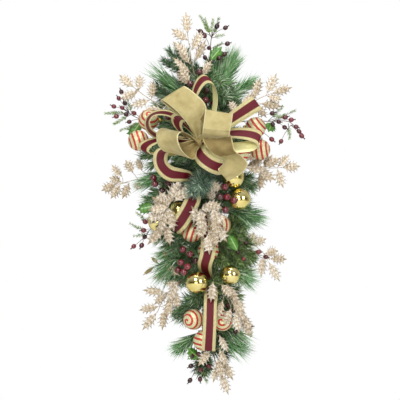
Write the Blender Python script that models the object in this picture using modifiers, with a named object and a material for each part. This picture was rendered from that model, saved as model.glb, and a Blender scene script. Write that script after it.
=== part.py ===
"""A teardrop door swag: evergreen branches, glittered holly sprays, berry picks and baubles on one
wire-bound spine, with a two-ribbon bow, hung from a wire loop.

World axes: X to the right, Z up, and the swag faces -Y. The origin is where the door hook holds the
hanger loop, and the door is the plane Y = 0. Places are given as (u, v, d): u to the right and v down
in the front view, in grid units of GRID metres, and d in millimetres out from the door.
"""

import math
import random

import bmesh
import bpy
from mathutils import Vector
from mathutils.bvhtree import BVHTree

MM = 0.001
GRID = 0.0024
HANG_U, HANG_V = 203.0, 75.0
SEAT_GAP = 0.5 * MM
CLEARANCE = 0.35 * MM
FLAT_ANGLE = math.radians(2.0)

SPINE_RADIUS = 8.0 * MM
SPINE_DEPTH = 26.0
SPINE_TOP_V, SPINE_END_V = 66.0, 352.0

WIRE_RADIUS = 1.0 * MM
HANGER_WIRE_RADIUS = 1.2 * MM
HANGER_INNER = 17.0
HOOK_ROOM = ((-10.0, -13.0, -28.0), (10.0, 0.0, -6.0))

BALL_SIDES = 8
BALL_ROWS = 5
GOLD_BALL_RADIUS = 27.0
STRIPED_BALL_RADIUS = 25.0

GOLD_WIDTH = 63.5 * MM
BURGUNDY_WIDTH = 38.0 * MM
RIBBON_THICKNESS = 0.9 * MM

HOLLY_LENGTH, HOLLY_WIDTH = 50.0 * MM, 22.0 * MM
LEAF_THICKNESS, LEAF_DROOP, LEAF_NOTCH = 1.1 * MM, 0.10, 0.55
STALK_RADIUS = 0.55 * MM
SPRAY_STEM = (1.7 * MM, 1.3 * MM)
PICK_STEM = (1.6 * MM, 1.3 * MM)
BUNCH_STEM = (1.6 * MM, 1.4 * MM)
LEAF_TEETH = 3
BLADE_GAP = 7.5 * MM
TWIG_RADIUS = 0.5 * MM
FERN_RINGS = 4
CRANBERRY_RADIUS = 8.3 * MM
ROSEHIP_RADIUS = 5.8 * MM

GREEN_DARK = (0.020, 0.062, 0.030)
GREEN_MID = (0.040, 0.120, 0.050)
GREEN_BLUE = (0.070, 0.150, 0.105)
CHAMPAGNE = (0.640, 0.490, 0.340)
OLIVE = (0.270, 0.240, 0.130)
GOLD = (0.780, 0.560, 0.110)
STRIPED = (0.700, 0.620, 0.330)
GOLD_RIBBON = (0.560, 0.450, 0.170)
BURGUNDY = (0.170, 0.018, 0.045)
CRANBERRY = (0.200, 0.012, 0.024)
ROSEHIP = (0.085, 0.014, 0.022)
WIRE_GREEN = (0.030, 0.055, 0.030)
STEEL = (0.450, 0.450, 0.440)

FRONT = Vector((0.0, -1.0, 0.0))

placed = []


def at(u, v, d):
    """A place in the front view as a world point."""
    return Vector(((u - HANG_U) * GRID, -d * MM, (HANG_V - v) * GRID))


def aim(u, v, d):
    """A direction given in the front view's axes, all three in like units, as a unit vector."""
    return Vector((u, -d, -v)).normalized()


def smooth_path(points, count):
    """Points spaced evenly in parameter along a Catmull-Rom curve through the given ones."""
    ends = [points[0] * 2 - points[1]] + list(points) + [points[-1] * 2 - points[-2]]
    spans = len(points) - 1
    result = []
    for step in range(count):
        where = step / (count - 1) * spans
        index = min(int(where), spans - 1)
        t = where - index
        a, b, c, d = ends[index:index + 4]
        result.append(0.5 * ((2 * b) + (c - a) * t + (2 * a - 5 * b + 4 * c - d) * t * t
                             + (3 * b - 3 * c + d - a) * t * t * t))
    return result


def loft(rings, tip=None):
    """A closed solid through rings of equal count, ended by a flat cap or drawn to a tip point."""
    bm = bmesh.new()
    rows = [[bm.verts.new(point) for point in ring] for ring in rings]
    sides = len(rows[0])
    for near, far in zip(rows, rows[1:]):
        for i in range(sides):
            j = (i + 1) % sides
            bm.faces.new((near[i], near[j], far[j], far[i]))
    bm.faces.new(list(reversed(rows[0])))
    if tip is None:
        bm.faces.new(rows[-1])
    else:
        peak = bm.verts.new(tip)
        for i in range(sides):
            bm.faces.new((rows[-1][i], rows[-1][(i + 1) % sides], peak))
    bmesh.ops.recalc_face_normals(bm, faces=bm.faces)
    return bm


def frames_along(points):
    """A tangent and two cross directions at each point, turned as little as possible."""
    frames = []
    side = None
    for i, point in enumerate(points):
        before = points[max(i - 1, 0)]
        after = points[min(i + 1, len(points) - 1)]
        tangent = (after - before).normalized()
        if side is None:
            side = tangent.orthogonal().normalized()
        side = (side - side.dot(tangent) * tangent).normalized()
        frames.append((tangent, side, tangent.cross(side)))
    return frames


def stem_solid(points, radii, sides):
    """A closed stem through the points, tapering by the radii."""
    rings = []
    for point, radius, (_, side, other) in zip(points, radii, frames_along(points)):
        ring = []
        for k in range(sides):
            angle = 2 * math.pi * k / sides
            ring.append(point + radius * (math.cos(angle) * side + math.sin(angle) * other))
        rings.append(ring)
    return loft(rings)


def taper(start, end, count):
    return [start + (end - start) * i / (count - 1) for i in range(count)]


def tree_of(bm, grow):
    """A search tree of a solid's skin, moved outwards by grow, with its lowest and highest corners."""
    bm.normal_update()
    bm.verts.index_update()
    points = [vert.co + vert.normal * grow for vert in bm.verts]
    faces = [[vert.index for vert in face.verts] for face in bm.faces]
    low = Vector([min(point[k] for point in points) for k in range(3)])
    high = Vector([max(point[k] for point in points) for k in range(3)])
    return low, high, BVHTree.FromPolygons(points, faces)


def touches(first, second):
    if any(first[0][k] > second[1][k] or second[0][k] > first[1][k] for k in range(3)):
        return False
    return bool(first[2].overlap(second[2]))


def is_clear(bm, extra=()):
    """True when the solid keeps its clearance to every finished node and to the extra trees."""
    tree = tree_of(bm, CLEARANCE)
    return not any(touches(tree, other) for other in list(placed) + list(extra))


def paint(name, colour, roughness, metallic=0.0):
    material = bpy.data.materials.new(name)
    material.use_nodes = True
    shader = material.node_tree.nodes["Principled BSDF"]
    shader.inputs["Base Color"].default_value = (*colour, 1.0)
    shader.inputs["Roughness"].default_value = roughness
    shader.inputs["Metallic"].default_value = metallic
    material.diffuse_color = (*colour, 1.0)
    return material


def object_from(bm, name, collection):
    bmesh.ops.triangulate(bm, faces=bm.faces)
    mesh = bpy.data.meshes.new(name)
    bm.to_mesh(mesh)
    bm.free()
    thing = bpy.data.objects.new(name, mesh)
    collection.objects.link(thing)
    return thing


def shells_of(bm):
    """The faces of each connected shell, the one with the most faces first."""
    waiting = set(bm.faces)
    shells = []
    while waiting:
        front = [waiting.pop()]
        shell = list(front)
        while front:
            face = front.pop()
            for edge in face.edges:
                for other in edge.link_faces:
                    if other in waiting:
                        waiting.remove(other)
                        front.append(other)
                        shell.append(other)
        shells.append(shell)
    return sorted(shells, key=len, reverse=True)


def keep_main_shell(mesh):
    """Fill the pockets that joining sealed and drop loose scraps; True when the rest is closed."""
    bm = bmesh.new()
    bm.from_mesh(mesh)
    bmesh.ops.triangulate(bm, faces=bm.faces)
    for shell in shells_of(bm)[1:]:
        bmesh.ops.delete(bm, geom=shell, context="FACES")
    bmesh.ops.dissolve_limit(bm, angle_limit=FLAT_ANGLE, verts=bm.verts, edges=bm.edges)
    bmesh.ops.triangulate(bm, faces=bm.faces)
    closed = len(bm.faces) > 0 and all(len(edge.link_faces) == 2 for edge in bm.edges)
    bm.to_mesh(mesh)
    bm.free()
    return closed


def joined_mesh(base, parts, solver):
    """The union of the base object with the objects of the parts collection."""
    joint = base.modifiers.new("join", "BOOLEAN")
    joint.operation = "UNION"
    joint.operand_type = "COLLECTION"
    joint.collection = parts
    joint.solver = solver
    bpy.context.view_layer.update()
    evaluated = base.evaluated_get(bpy.context.evaluated_depsgraph_get())
    mesh = bpy.data.meshes.new_from_object(evaluated)
    base.modifiers.remove(joint)
    return mesh


def finish_node(name, pieces, material, swag):
    """Join a node's solids, which are sunk into each other, as one closed body, and note its place."""
    if len(pieces) == 1:
        node = object_from(pieces[0], name, swag)
    else:
        parts = bpy.data.collections.new(name + "_parts")
        bpy.context.scene.collection.children.link(parts)
        base = object_from(pieces[0], name + "_base", swag)
        for number, piece in enumerate(pieces[1:]):
            object_from(piece, f"{name}_part_{number}", parts)
        mesh = joined_mesh(base, parts, "MANIFOLD")
        if not keep_main_shell(mesh):
            mesh = joined_mesh(base, parts, "EXACT")
            keep_main_shell(mesh)
        for part in list(parts.objects) + [base]:
            bpy.data.objects.remove(part, do_unlink=True)
        bpy.data.collections.remove(parts)
        mesh.name = name
        node = bpy.data.objects.new(name, mesh)
        swag.objects.link(node)
    node.data.materials.clear()
    node.data.materials.append(material)
    bm = bmesh.new()
    bm.from_mesh(node.data)
    bmesh.ops.triangulate(bm, faces=bm.faces)
    placed.append((*tree_of(bm, 0.0), name))
    bm.free()
    return node


# The spine, the hanger and the bow wire


def spine_centre(v):
    """The bound stems wander a little from side to side on their way down."""
    share = (v - SPINE_TOP_V) / (SPINE_END_V - SPINE_TOP_V)
    return at(203.0 + 1.2 * math.sin(5.0 * share) + 4.0 * share, v, SPINE_DEPTH)


def spine_seat(v, direction, stem_radius):
    """The start of a stem that is bound to the spine: just off its skin, and a step further out."""
    flat = Vector((direction.x, direction.y, 0.0)).normalized()
    start = spine_centre(v) + flat * (SPINE_RADIUS + SEAT_GAP)
    return start, start + flat * (6.0 * MM + stem_radius)


def make_spine(swag):
    points = [spine_centre(SPINE_TOP_V + (SPINE_END_V - SPINE_TOP_V) * i / 6) for i in range(7)]
    rod = stem_solid(points, [SPINE_RADIUS] * 7, 12)
    finish_node("spine", [rod], paint("stem_tape", WIRE_GREEN, 0.7), swag)


def make_hanger(swag):
    """A closed wire loop that stands up from the back of the spine, twisted into a tail behind it."""
    points = []
    for i in range(15):
        angle = -0.5 * math.pi + 2 * math.pi * i / 14
        points.append(Vector((HANGER_INNER * MM * math.cos(angle), -5.0 * MM,
                              (HANGER_INNER * math.sin(angle) - HANGER_INNER) * MM)))
    ring = stem_ring(points[:-1], HANGER_WIRE_RADIUS, 5)
    foot = points[0] + Vector((0.0, 0.0, 1.0 * MM))
    behind = Vector((0.0, SPINE_RADIUS + SEAT_GAP + 1.8 * MM, 0.0))
    bound = [spine_centre(HANG_V + drop) + behind for drop in (20.0, 28.0)]
    tail = stem_solid([foot] + bound, [2.0 * MM] * 3, 6)
    finish_node("hanger", [ring, tail], paint("hanger_wire", STEEL, 0.35, 1.0), swag)


def stem_ring(points, radius, sides):
    """A closed ring of wire through points that lie on a circle in the XZ plane."""
    centre = sum(points, Vector()) / len(points)
    bm = bmesh.new()
    rows = []
    for point in points:
        out = (point - centre).normalized()
        row = []
        for k in range(sides):
            angle = 2 * math.pi * k / sides
            row.append(bm.verts.new(point + radius * (math.cos(angle) * out + math.sin(angle) * FRONT)))
        rows.append(row)
    for near, far in zip(rows, rows[1:] + rows[:1]):
        for i in range(sides):
            j = (i + 1) % sides
            bm.faces.new((near[i], near[j], far[j], far[i]))
    bmesh.ops.recalc_face_normals(bm, faces=bm.faces)
    return bm


# Ribbons


def ribbon_strip(rows):
    """A wired ribbon of even thickness through rows of (centre, half of its width as a vector)."""
    bm = bmesh.new()
    ends = [(bm.verts.new(centre - half), bm.verts.new(centre + half)) for centre, half in rows]
    for near, far in zip(ends, ends[1:]):
        bm.faces.new((near[0], near[1], far[1], far[0]))
    strip = object_from(bm, "strip", bpy.context.scene.collection)
    shell = strip.modifiers.new("thickness", "SOLIDIFY")
    shell.thickness = RIBBON_THICKNESS
    shell.offset = 0.0
    bpy.context.view_layer.update()
    mesh = bpy.data.meshes.new_from_object(strip.evaluated_get(bpy.context.evaluated_depsgraph_get()))
    bpy.data.objects.remove(strip, do_unlink=True)
    bm = bmesh.new()
    bm.from_mesh(mesh)
    bpy.data.meshes.remove(mesh)
    bmesh.ops.recalc_face_normals(bm, faces=bm.faces)
    return bm


def ribbon_rows(points, width, count):
    """Rows through hand-placed points (u, v, d, across u, across v, across d, share of the width)."""
    centres = smooth_path([at(*point[:3]) for point in points], count)
    halves = smooth_path([aim(*point[3:6]) * point[6] * width / 2 for point in points], count)
    return list(zip(centres, halves))


def loop_rows(knot, tip, bulge, across, fullness, width, shift, count=10, waist=0.22):
    """One bow loop: out from the knot to its tip and back, pinched at the knot."""
    centre = at(*knot)
    reach = at(*tip) - centre
    lift = aim(*bulge) * fullness * MM
    side = aim(*across)
    slide = at(knot[0] + shift[0], knot[1] + shift[1], knot[2] + shift[2]) - centre
    rows = []
    for i in range(count):
        angle = math.pi * (0.13 + 1.74 * i / (count - 1))
        out = (1 - math.cos(angle)) / 2
        open_share = math.sin(angle / 2)
        point = centre + reach * out + lift * math.sin(angle) * open_share ** 0.5 + slide * open_share
        rows.append((point, side * width / 2 * (waist + (1 - waist) * open_share)))
    return rows


def knot_solid(place, radius, depth):
    """The gathered middle of a bow, a small drum that the loops are pinched into."""
    centre = at(*place)
    rings = []
    for share, size in ((-1.0, 0.55), (-0.6, 0.95), (0.6, 0.95), (1.0, 0.55)):
        ring = []
        for k in range(8):
            angle = 2 * math.pi * k / 8
            ring.append(centre + Vector((math.cos(angle) * radius * size, -share * depth / 2,
                                         math.sin(angle) * radius * size)) * MM)
        rings.append(ring)
    return loft(rings)


GOLD_KNOT = (199.0, 142.5, 182.0)
BURGUNDY_KNOT = (198.5, 142.5, 140.0)
KNOT_DEPTH = 30.0
KNOT_RADIUS = 15.0
GOLD_KNOT_RADIUS = 9.0

GOLD_TAIL = [
    (200.5, 141.5, 184.0, 0.6, -0.8, 0.0, 0.28),
    (208.0, 138.0, 190.0, 0.9, -0.3, 0.0, 0.75),
    (215.5, 136.5, 196.0, 1.0, -0.05, 0.0, 1.05),
    (217.5, 141.0, 199.0, 1.0, -0.10, 0.0, 1.08),
    (220.0, 146.3, 200.0, 1.0, -0.13, 0.1, 1.0),
    (223.0, 150.8, 199.0, 0.98, -0.17, 0.5, 0.92),
    (227.0, 154.2, 197.0, 0.97, -0.22, 0.85, 0.88),
    (233.0, 157.8, 195.0, 0.98, -0.15, 0.75, 0.85),
    (235.3, 163.8, 194.0, 1.0, 0.03, 0.3, 0.95),
    (231.5, 169.5, 195.0, 0.98, 0.15, -0.1, 0.92),
    (227.0, 173.0, 196.0, 0.88, 0.45, -0.4, 0.80),
    (222.5, 175.8, 197.0, 0.65, 0.75, -0.6, 0.62),
]
GOLD_UPPER_LOOP = [
    (199.5, 142.0, 181.0, 0.95, -0.30, 0.0, 0.28),
    (198.5, 131.0, 180.0, 0.92, -0.38, 0.0, 0.40),
    (195.5, 119.5, 182.0, 0.88, -0.48, 0.0, 0.66),
    (188.5, 110.0, 184.0, 0.87, -0.50, 0.0, 0.86),
    (180.0, 102.5, 187.0, 0.87, -0.50, 0.0, 0.97),
    (174.3, 96.8, 189.0, 0.86, -0.51, 0.0, 1.0),
    (172.3, 94.3, 193.0, 0.86, -0.51, 0.0, 1.0),
    (173.3, 94.0, 198.0, 0.86, -0.51, 0.0, 1.0),
    (177.5, 96.6, 203.0, 0.85, -0.52, 0.0, 1.0),
    (185.0, 102.6, 206.0, 0.85, -0.52, 0.0, 1.0),
    (192.7, 110.2, 206.0, 0.86, -0.50, 0.0, 1.0),
    (196.9, 118.0, 203.0, 0.88, -0.47, 0.0, 0.88),
    (198.7, 127.5, 198.0, 0.92, -0.38, 0.0, 0.62),
    (199.4, 136.0, 192.0, 1.0, -0.10, 0.0, 0.38),
    (199.5, 142.0, 187.0, 1.0, 0.0, 0.0, 0.26),
]
GOLD_BARREL_LOOP = [
    (200.0, 142.5, 178.0, 0.5, 0.8, 0.2, 0.25),
    (192.0, 139.5, 186.0, 0.7, 0.4, 0.5, 0.62),
    (182.0, 134.5, 194.0, 0.75, 0.25, 0.6, 0.95),
    (173.0, 131.2, 206.0, 0.72, 0.20, 0.65, 1.0),
    (168.3, 135.0, 219.0, 0.78, 0.18, 0.58, 1.0),
    (168.3, 141.5, 226.0, 0.82, 0.20, 0.50, 1.0),
    (171.3, 149.0, 224.0, 0.88, 0.24, 0.35, 1.0),
    (178.5, 155.6, 213.0, 0.95, 0.28, 0.1, 1.0),
    (184.0, 154.5, 202.0, 0.92, 0.35, 0.1, 0.92),
    (188.0, 149.5, 193.0, 0.85, 0.50, 0.1, 0.75),
    (193.5, 146.0, 186.0, 0.7, 0.7, 0.1, 0.45),
    (200.0, 142.5, 180.0, 0.6, 0.8, 0.1, 0.25),
]
GOLD_FRONT_LOOP = [
    (200.0, 140.0, 184.0, 1.0, 0.1, 0.0, 0.25),
    (207.0, 128.0, 196.0, 1.0, 0.15, 0.0, 0.80),
    (216.0, 116.0, 210.0, 1.0, 0.18, 0.0, 1.0),
    (218.4, 113.0, 216.0, 1.0, 0.20, 0.0, 1.05),
    (218.6, 114.0, 222.0, 1.0, 0.20, 0.0, 1.05),
    (217.6, 122.0, 227.0, 1.0, 0.16, 0.0, 1.04),
    (216.4, 130.3, 229.0, 1.0, 0.12, 0.0, 1.03),
    (216.1, 131.6, 228.6, 1.0, 0.12, 0.0, 1.02),
    (215.7, 135.2, 224.0, 1.0, 0.11, 0.0, 1.02),
    (215.0, 137.0, 217.0, 1.0, 0.12, 0.0, 1.0),
    (211.0, 137.5, 207.0, 1.0, 0.12, 0.0, 0.90),
    (205.5, 139.5, 196.0, 1.0, 0.12, 0.0, 0.62),
    (200.5, 142.0, 187.0, 1.0, 0.10, 0.0, 0.25),
]


def make_gold_bow(swag):
    back = BURGUNDY_KNOT[2] + KNOT_DEPTH / 2 + SEAT_GAP / MM
    front = GOLD_KNOT[2] + GOLD_KNOT_RADIUS
    drum = (GOLD_KNOT[0], GOLD_KNOT[1], (back + front) / 2)
    pieces = [knot_solid(drum, GOLD_KNOT_RADIUS, front - back)]
    pieces += [ribbon_strip(ribbon_rows(points, GOLD_WIDTH, 15))
               for points in (GOLD_UPPER_LOOP, GOLD_BARREL_LOOP, GOLD_FRONT_LOOP, GOLD_TAIL)]
    finish_node("bow_gold", pieces, paint("gold_mesh_ribbon", GOLD_RIBBON, 0.45, 0.4), swag)


LEFT_TAIL = [
    (193.0, 144.0, 143.0, 0.3, 1.0, 0.0, 0.30),
    (178.0, 149.0, 138.0, 0.7, 1.0, 0.0, 0.75),
    (163.0, 153.0, 144.0, 1.0, 0.25, 0.1, 0.85),
    (160.5, 160.0, 150.0, 1.0, -0.15, 0.1, 0.90),
    (163.5, 168.0, 153.0, 0.85, -0.55, 0.2, 0.95),
    (171.0, 174.0, 150.0, 0.40, -0.90, 0.35, 1.0),
    (182.0, 175.5, 138.0, 0.0, -1.0, 0.5, 0.90),
    (190.0, 177.0, 118.0, 0.2, -1.0, 0.6, 0.75),
    (193.5, 186.0, 104.0, 0.9, -0.5, 0.4, 0.75),
    (193.5, 197.0, 114.0, 0.95, 0.25, 0.1, 0.95),
    (189.0, 208.0, 124.0, 0.90, 0.50, 0.0, 1.0),
    (182.0, 220.0, 123.0, 0.85, 0.60, 0.0, 1.0),
    (177.2, 226.5, 112.0, 0.85, 0.60, 0.1, 0.92),
    (174.5, 230.0, 92.0, 0.85, 0.50, 0.3, 0.75),
    (176.0, 231.5, 66.0, 0.7, 0.6, 0.6, 0.50),
    (186.0, 232.5, 45.0, 0.3, 1.0, 0.3, 0.32),
    (197.0, 233.0, 40.0, 0.0, 1.0, 0.2, 0.22),
]
# Each loop: tip (u, v, d), bulge, across, fullness in mm, and how far its middle line moves aside.
BURGUNDY_LOOPS = [
    ((206.0, 78.5, 124.0), (1.0, 0.1, 0.0), (0.35, 0.55, 0.76), 31.0, (1.0, 0.0, -8.0)),
    ((256.8, 103.0, 146.0), (-0.2, 0.0, 1.0), (0.60, 0.80, 0.0), 12.0, (0.0, 0.0, 0.0)),
    ((259.5, 143.5, 148.0), (0.0, -1.0, 0.1), (-0.30, 0.78, 0.55), 20.0, (0.0, -3.0, 2.0)),
    ((177.8, 119.1, 158.0), (0.74, -0.67, 0.0), (0.68, 0.47, 0.56), 18.0, (0.0, 0.0, 0.0)),
    ((143.8, 147.0, 140.0), (0.0, -1.0, 0.0), (0.62, 0.30, 0.70), 22.0, (0.0, 2.0, 0.0)),
]
LEFT_UPPER_LOOP = [
    (197.5, 140.0, 141.0, 0.3, 0.5, 0.8, 0.25),
    (185.0, 125.5, 138.0, 0.1, 0.4, 0.9, 0.75),
    (173.0, 115.8, 137.0, 0.05, 0.4, 0.9, 1.0),
    (161.0, 113.2, 137.0, 0.10, 0.40, 0.9, 1.0),
    (151.5, 116.0, 137.0, 0.30, 0.25, 0.9, 1.0),
    (147.6, 123.0, 137.0, 0.38, 0.05, 0.9, 1.0),
    (150.0, 131.0, 137.0, 0.36, -0.15, 0.9, 1.0),
    (158.0, 136.5, 137.0, 0.25, -0.30, 0.9, 0.95),
    (172.0, 140.0, 137.0, 0.1, -0.40, 0.85, 0.8),
    (187.0, 142.0, 138.0, 0.1, -0.50, 0.8, 0.5),
    (197.0, 142.5, 139.0, 0.1, -0.60, 0.7, 0.25),
]
FRONT_LOWER_LOOP = [
    (199.0, 144.5, 148.0, 0.75, -0.65, 0.0, 0.30),
    (198.4, 147.8, 153.0, 0.72, -0.69, 0.0, 0.62),
    (198.8, 151.8, 164.0, 0.64, -0.76, 0.0, 0.90),
    (201.8, 157.3, 171.0, 0.52, -0.85, 0.0, 1.0),
    (208.4, 162.9, 173.0, 0.36, -0.93, 0.0, 1.0),
    (215.3, 166.4, 169.0, 0.32, -0.95, 0.0, 1.0),
    (221.5, 167.8, 160.0, 0.36, -0.92, 0.0, 1.0),
    (224.8, 167.0, 149.0, 0.40, -0.90, 0.0, 1.0),
    (221.0, 162.5, 142.0, 0.45, -0.85, 0.0, 0.90),
    (212.0, 154.5, 139.0, 0.50, -0.80, 0.0, 0.70),
    (204.0, 147.5, 138.0, 0.55, -0.75, 0.0, 0.45),
    (199.8, 144.0, 138.0, 0.60, -0.70, 0.0, 0.28),
]


def make_burgundy_bow(swag):
    pieces = [knot_solid(BURGUNDY_KNOT, KNOT_RADIUS, KNOT_DEPTH)]
    for tip, bulge, across, fullness, shift in BURGUNDY_LOOPS:
        rows = loop_rows(BURGUNDY_KNOT, tip, bulge, across, fullness, BURGUNDY_WIDTH, shift)
        pieces.append(ribbon_strip(rows))
    for points in (LEFT_UPPER_LOOP, FRONT_LOWER_LOOP):
        pieces.append(ribbon_strip(ribbon_rows(points, BURGUNDY_WIDTH, 12)))
    pieces.append(ribbon_strip(ribbon_rows(LEFT_TAIL, BURGUNDY_WIDTH, 22)))
    finish_node("bow_burgundy", pieces, paint("burgundy_ribbon", BURGUNDY, 0.55), swag)


CENTRE_TAIL = [
    (205.5, 205.0, 37.0, 1.0, 0.0, 0.0, 0.22),
    (205.5, 212.0, 62.0, 1.0, 0.0, 0.0, 0.35),
    (206.0, 222.0, 98.0, 1.0, 0.0, 0.0, 0.50),
    (207.5, 236.0, 116.0, 1.0, 0.1, 0.0, 0.90),
    (208.5, 246.0, 124.0, 1.0, 0.12, 0.0, 0.94),
    (207.0, 256.0, 125.0, 1.0, 0.18, 0.0, 0.93),
    (204.8, 264.0, 112.0, 1.0, 0.22, 0.0, 0.92),
    (205.0, 270.0, 84.0, 1.0, 0.20, 0.0, 0.90),
    (207.0, 276.0, 58.0, 1.0, 0.10, 0.0, 0.85),
    (209.5, 284.0, 50.0, 1.0, 0.0, 0.0, 0.85),
    (211.0, 290.5, 72.0, 1.0, 0.0, 0.0, 0.90),
    (210.8, 296.0, 106.0, 1.0, 0.0, 0.0, 0.85),
    (210.3, 304.0, 124.0, 1.0, 0.0, 0.0, 0.84),
    (209.8, 322.0, 128.0, 1.0, 0.0, 0.0, 0.84),
    (209.0, 338.0, 124.0, 1.0, 0.0, 0.0, 0.85),
    (208.3, 350.5, 114.0, 1.0, 0.0, 0.0, 0.87),
]


def make_centre_tail(swag):
    strip = ribbon_strip(ribbon_rows(CENTRE_TAIL, BURGUNDY_WIDTH, 22))
    finish_node("ribbon_centre", [strip], paint("burgundy_ribbon_tail", BURGUNDY, 0.55), swag)


def keep_hook_room():
    """Note the room of the door hook inside the hanger's loop as taken."""
    low, high = HOOK_ROOM
    bm = bmesh.new()
    bmesh.ops.create_cube(bm, size=1.0)
    for vert in bm.verts:
        vert.co = Vector([(low[k] + (high[k] - low[k]) * (vert.co[k] + 0.5)) * MM for k in range(3)])
    placed.append((*tree_of(bm, 0.0), "hook_room"))
    bm.free()


def make_bow_wire(swag):
    """The twisted wire that ties the bow's knot back to the spine."""
    back = at(BURGUNDY_KNOT[0], BURGUNDY_KNOT[1], BURGUNDY_KNOT[2] - KNOT_DEPTH / 2)
    start = back + Vector((0.0, SEAT_GAP, 0.0))
    seat, _ = spine_seat(BURGUNDY_KNOT[1], FRONT, WIRE_RADIUS)
    points = [start, start.lerp(seat, 0.5), seat]
    finish_node("bow_wire", [stem_solid(points, [2.0 * MM] * 3, 6)], paint("tie_wire", WIRE_GREEN, 0.6), swag)


# The balls, each with its cap and wire

BALLS = {
    "ball_gold_1": (233.0, 177.0, 96.0, GOLD_BALL_RADIUS),
    "ball_gold_2": (239.5, 199.0, 88.0, GOLD_BALL_RADIUS),
    "ball_gold_3": (196.6, 282.5, 98.0, GOLD_BALL_RADIUS),
    "ball_gold_4": (230.5, 275.0, 84.0, 24.0),
    "ball_gold_5": (179.0, 210.0, 82.0, 24.0),
    "ball_gold_6": (158.0, 222.0, 80.0, 24.0),
    "ball_striped_01": (148.5, 120.0, 72.0, STRIPED_BALL_RADIUS),
    "ball_striped_02": (138.5, 140.5, 82.0, STRIPED_BALL_RADIUS),
    "ball_striped_03": (255.5, 127.5, 84.0, STRIPED_BALL_RADIUS),
    "ball_striped_04": (260.0, 149.5, 80.0, STRIPED_BALL_RADIUS),
    "ball_striped_05": (239.0, 152.5, 108.0, STRIPED_BALL_RADIUS),
    "ball_striped_06": (192.0, 232.0, 80.0, STRIPED_BALL_RADIUS),
    "ball_striped_07": (220.5, 225.0, 84.0, STRIPED_BALL_RADIUS),
    "ball_striped_08": (208.5, 250.5, 78.0, STRIPED_BALL_RADIUS),
    "ball_striped_09": (193.5, 319.5, 84.0, STRIPED_BALL_RADIUS),
    "ball_striped_10": (222.5, 321.0, 84.0, STRIPED_BALL_RADIUS),
    "ball_striped_11": (203.5, 341.0, 80.0, STRIPED_BALL_RADIUS),
}


def ball_solid(centre, radius, seat):
    """A round ball, its cap on the side of the spine, and the wire from the cap to its seat."""
    axis = (seat - centre).normalized()
    side = axis.orthogonal().normalized()
    other = axis.cross(side)
    reach = (seat - centre).length
    profile = []
    for i in range(1, BALL_ROWS):
        angle = math.pi * i / BALL_ROWS
        profile.append((-radius * math.cos(angle), radius * math.sin(angle)))
    profile += [(radius, 5.5 * MM), (radius + 6.0 * MM, 4.5 * MM), (radius + 6.5 * MM, WIRE_RADIUS),
                (reach, WIRE_RADIUS)]
    rings = []
    for distance, size in reversed(profile):
        ring = []
        for k in range(BALL_SIDES):
            angle = 2 * math.pi * k / BALL_SIDES
            ring.append(centre + axis * distance + size * (math.cos(angle) * side + math.sin(angle) * other))
        rings.append(ring)
    flat = Vector((axis.x, axis.y, 0.0)).normalized()
    rings[0] = [point - flat * (point - seat).dot(flat) for point in rings[0]]
    return loft(rings, centre - axis * radius)


def make_balls(swag):
    gold = paint("gold_ball", GOLD, 0.08, 1.0)
    striped = paint("striped_ball", STRIPED, 0.45, 0.3)
    for name, (u, v, d, radius) in BALLS.items():
        centre = at(u, v, d)
        for lift in (0, 2, -2, 4, -4, 6, -6, 9, -9, 12, -12):
            line = spine_centre(v + lift)
            seat, _ = spine_seat(v + lift, centre - line, WIRE_RADIUS)
            ball = ball_solid(centre, radius * MM, seat)
            if is_clear(ball):
                break
            ball.free()
            ball = None
        if ball is None:
            print("no room for", name)
            continue
        finish_node(name, [ball], gold if "gold" in name else striped, swag)


# Stems, leaves and berries

STEM_LIFTS = (0, 2, -2, 4, -4, 6, -6, 8, -8, 10, -10, 13, -13, 16, -16)
STEM_BENDS = ((0, 0, 0), (0, 3, 4), (0, -3, -4), (3, 0, 8), (-3, 0, -8), (0, 5, -10), (0, -5, 10), (0, 6, 16),
              (0, -6, -16), (4, 4, 20), (-4, -4, -12))
SIDE_STARTS = (0.6, 0.8, 0.4)
STEM_SIDES = 4
STEM_BACK = 14.0


def bent_places(places):
    """The given places as world points, with the first one moved aside by each rule in turn."""
    for bend in STEM_BENDS:
        u, v, d = (places[0][k] + bend[k] for k in range(3))
        yield [at(u, v, max(d, STEM_BACK))] + [at(*place) for place in places[1:]]


def spine_starts(v, places, radius):
    """Ways for a stem from its seat on the spine to its places, as points."""
    for points in bent_places(places):
        for lift in STEM_LIFTS:
            height = min(max(v + lift, SPINE_TOP_V + 2), SPINE_END_V - 2)
            start, step = spine_seat(height, points[0] - spine_centre(height), radius)
            yield [start, step] + points


def first_clear(paths, build):
    """The first way whose solid keeps clear of every finished node, with that solid."""
    for path in paths:
        solid = build(path)
        if is_clear(solid):
            return path, solid
        solid.free()
    return None, None


def plain_stem(v, places, radii, count):
    paths = (smooth_path(points, count) for points in spine_starts(v, places, radii[0]))
    return first_clear(paths, lambda path: stem_solid(path, taper(*radii, count), STEM_SIDES))


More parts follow.
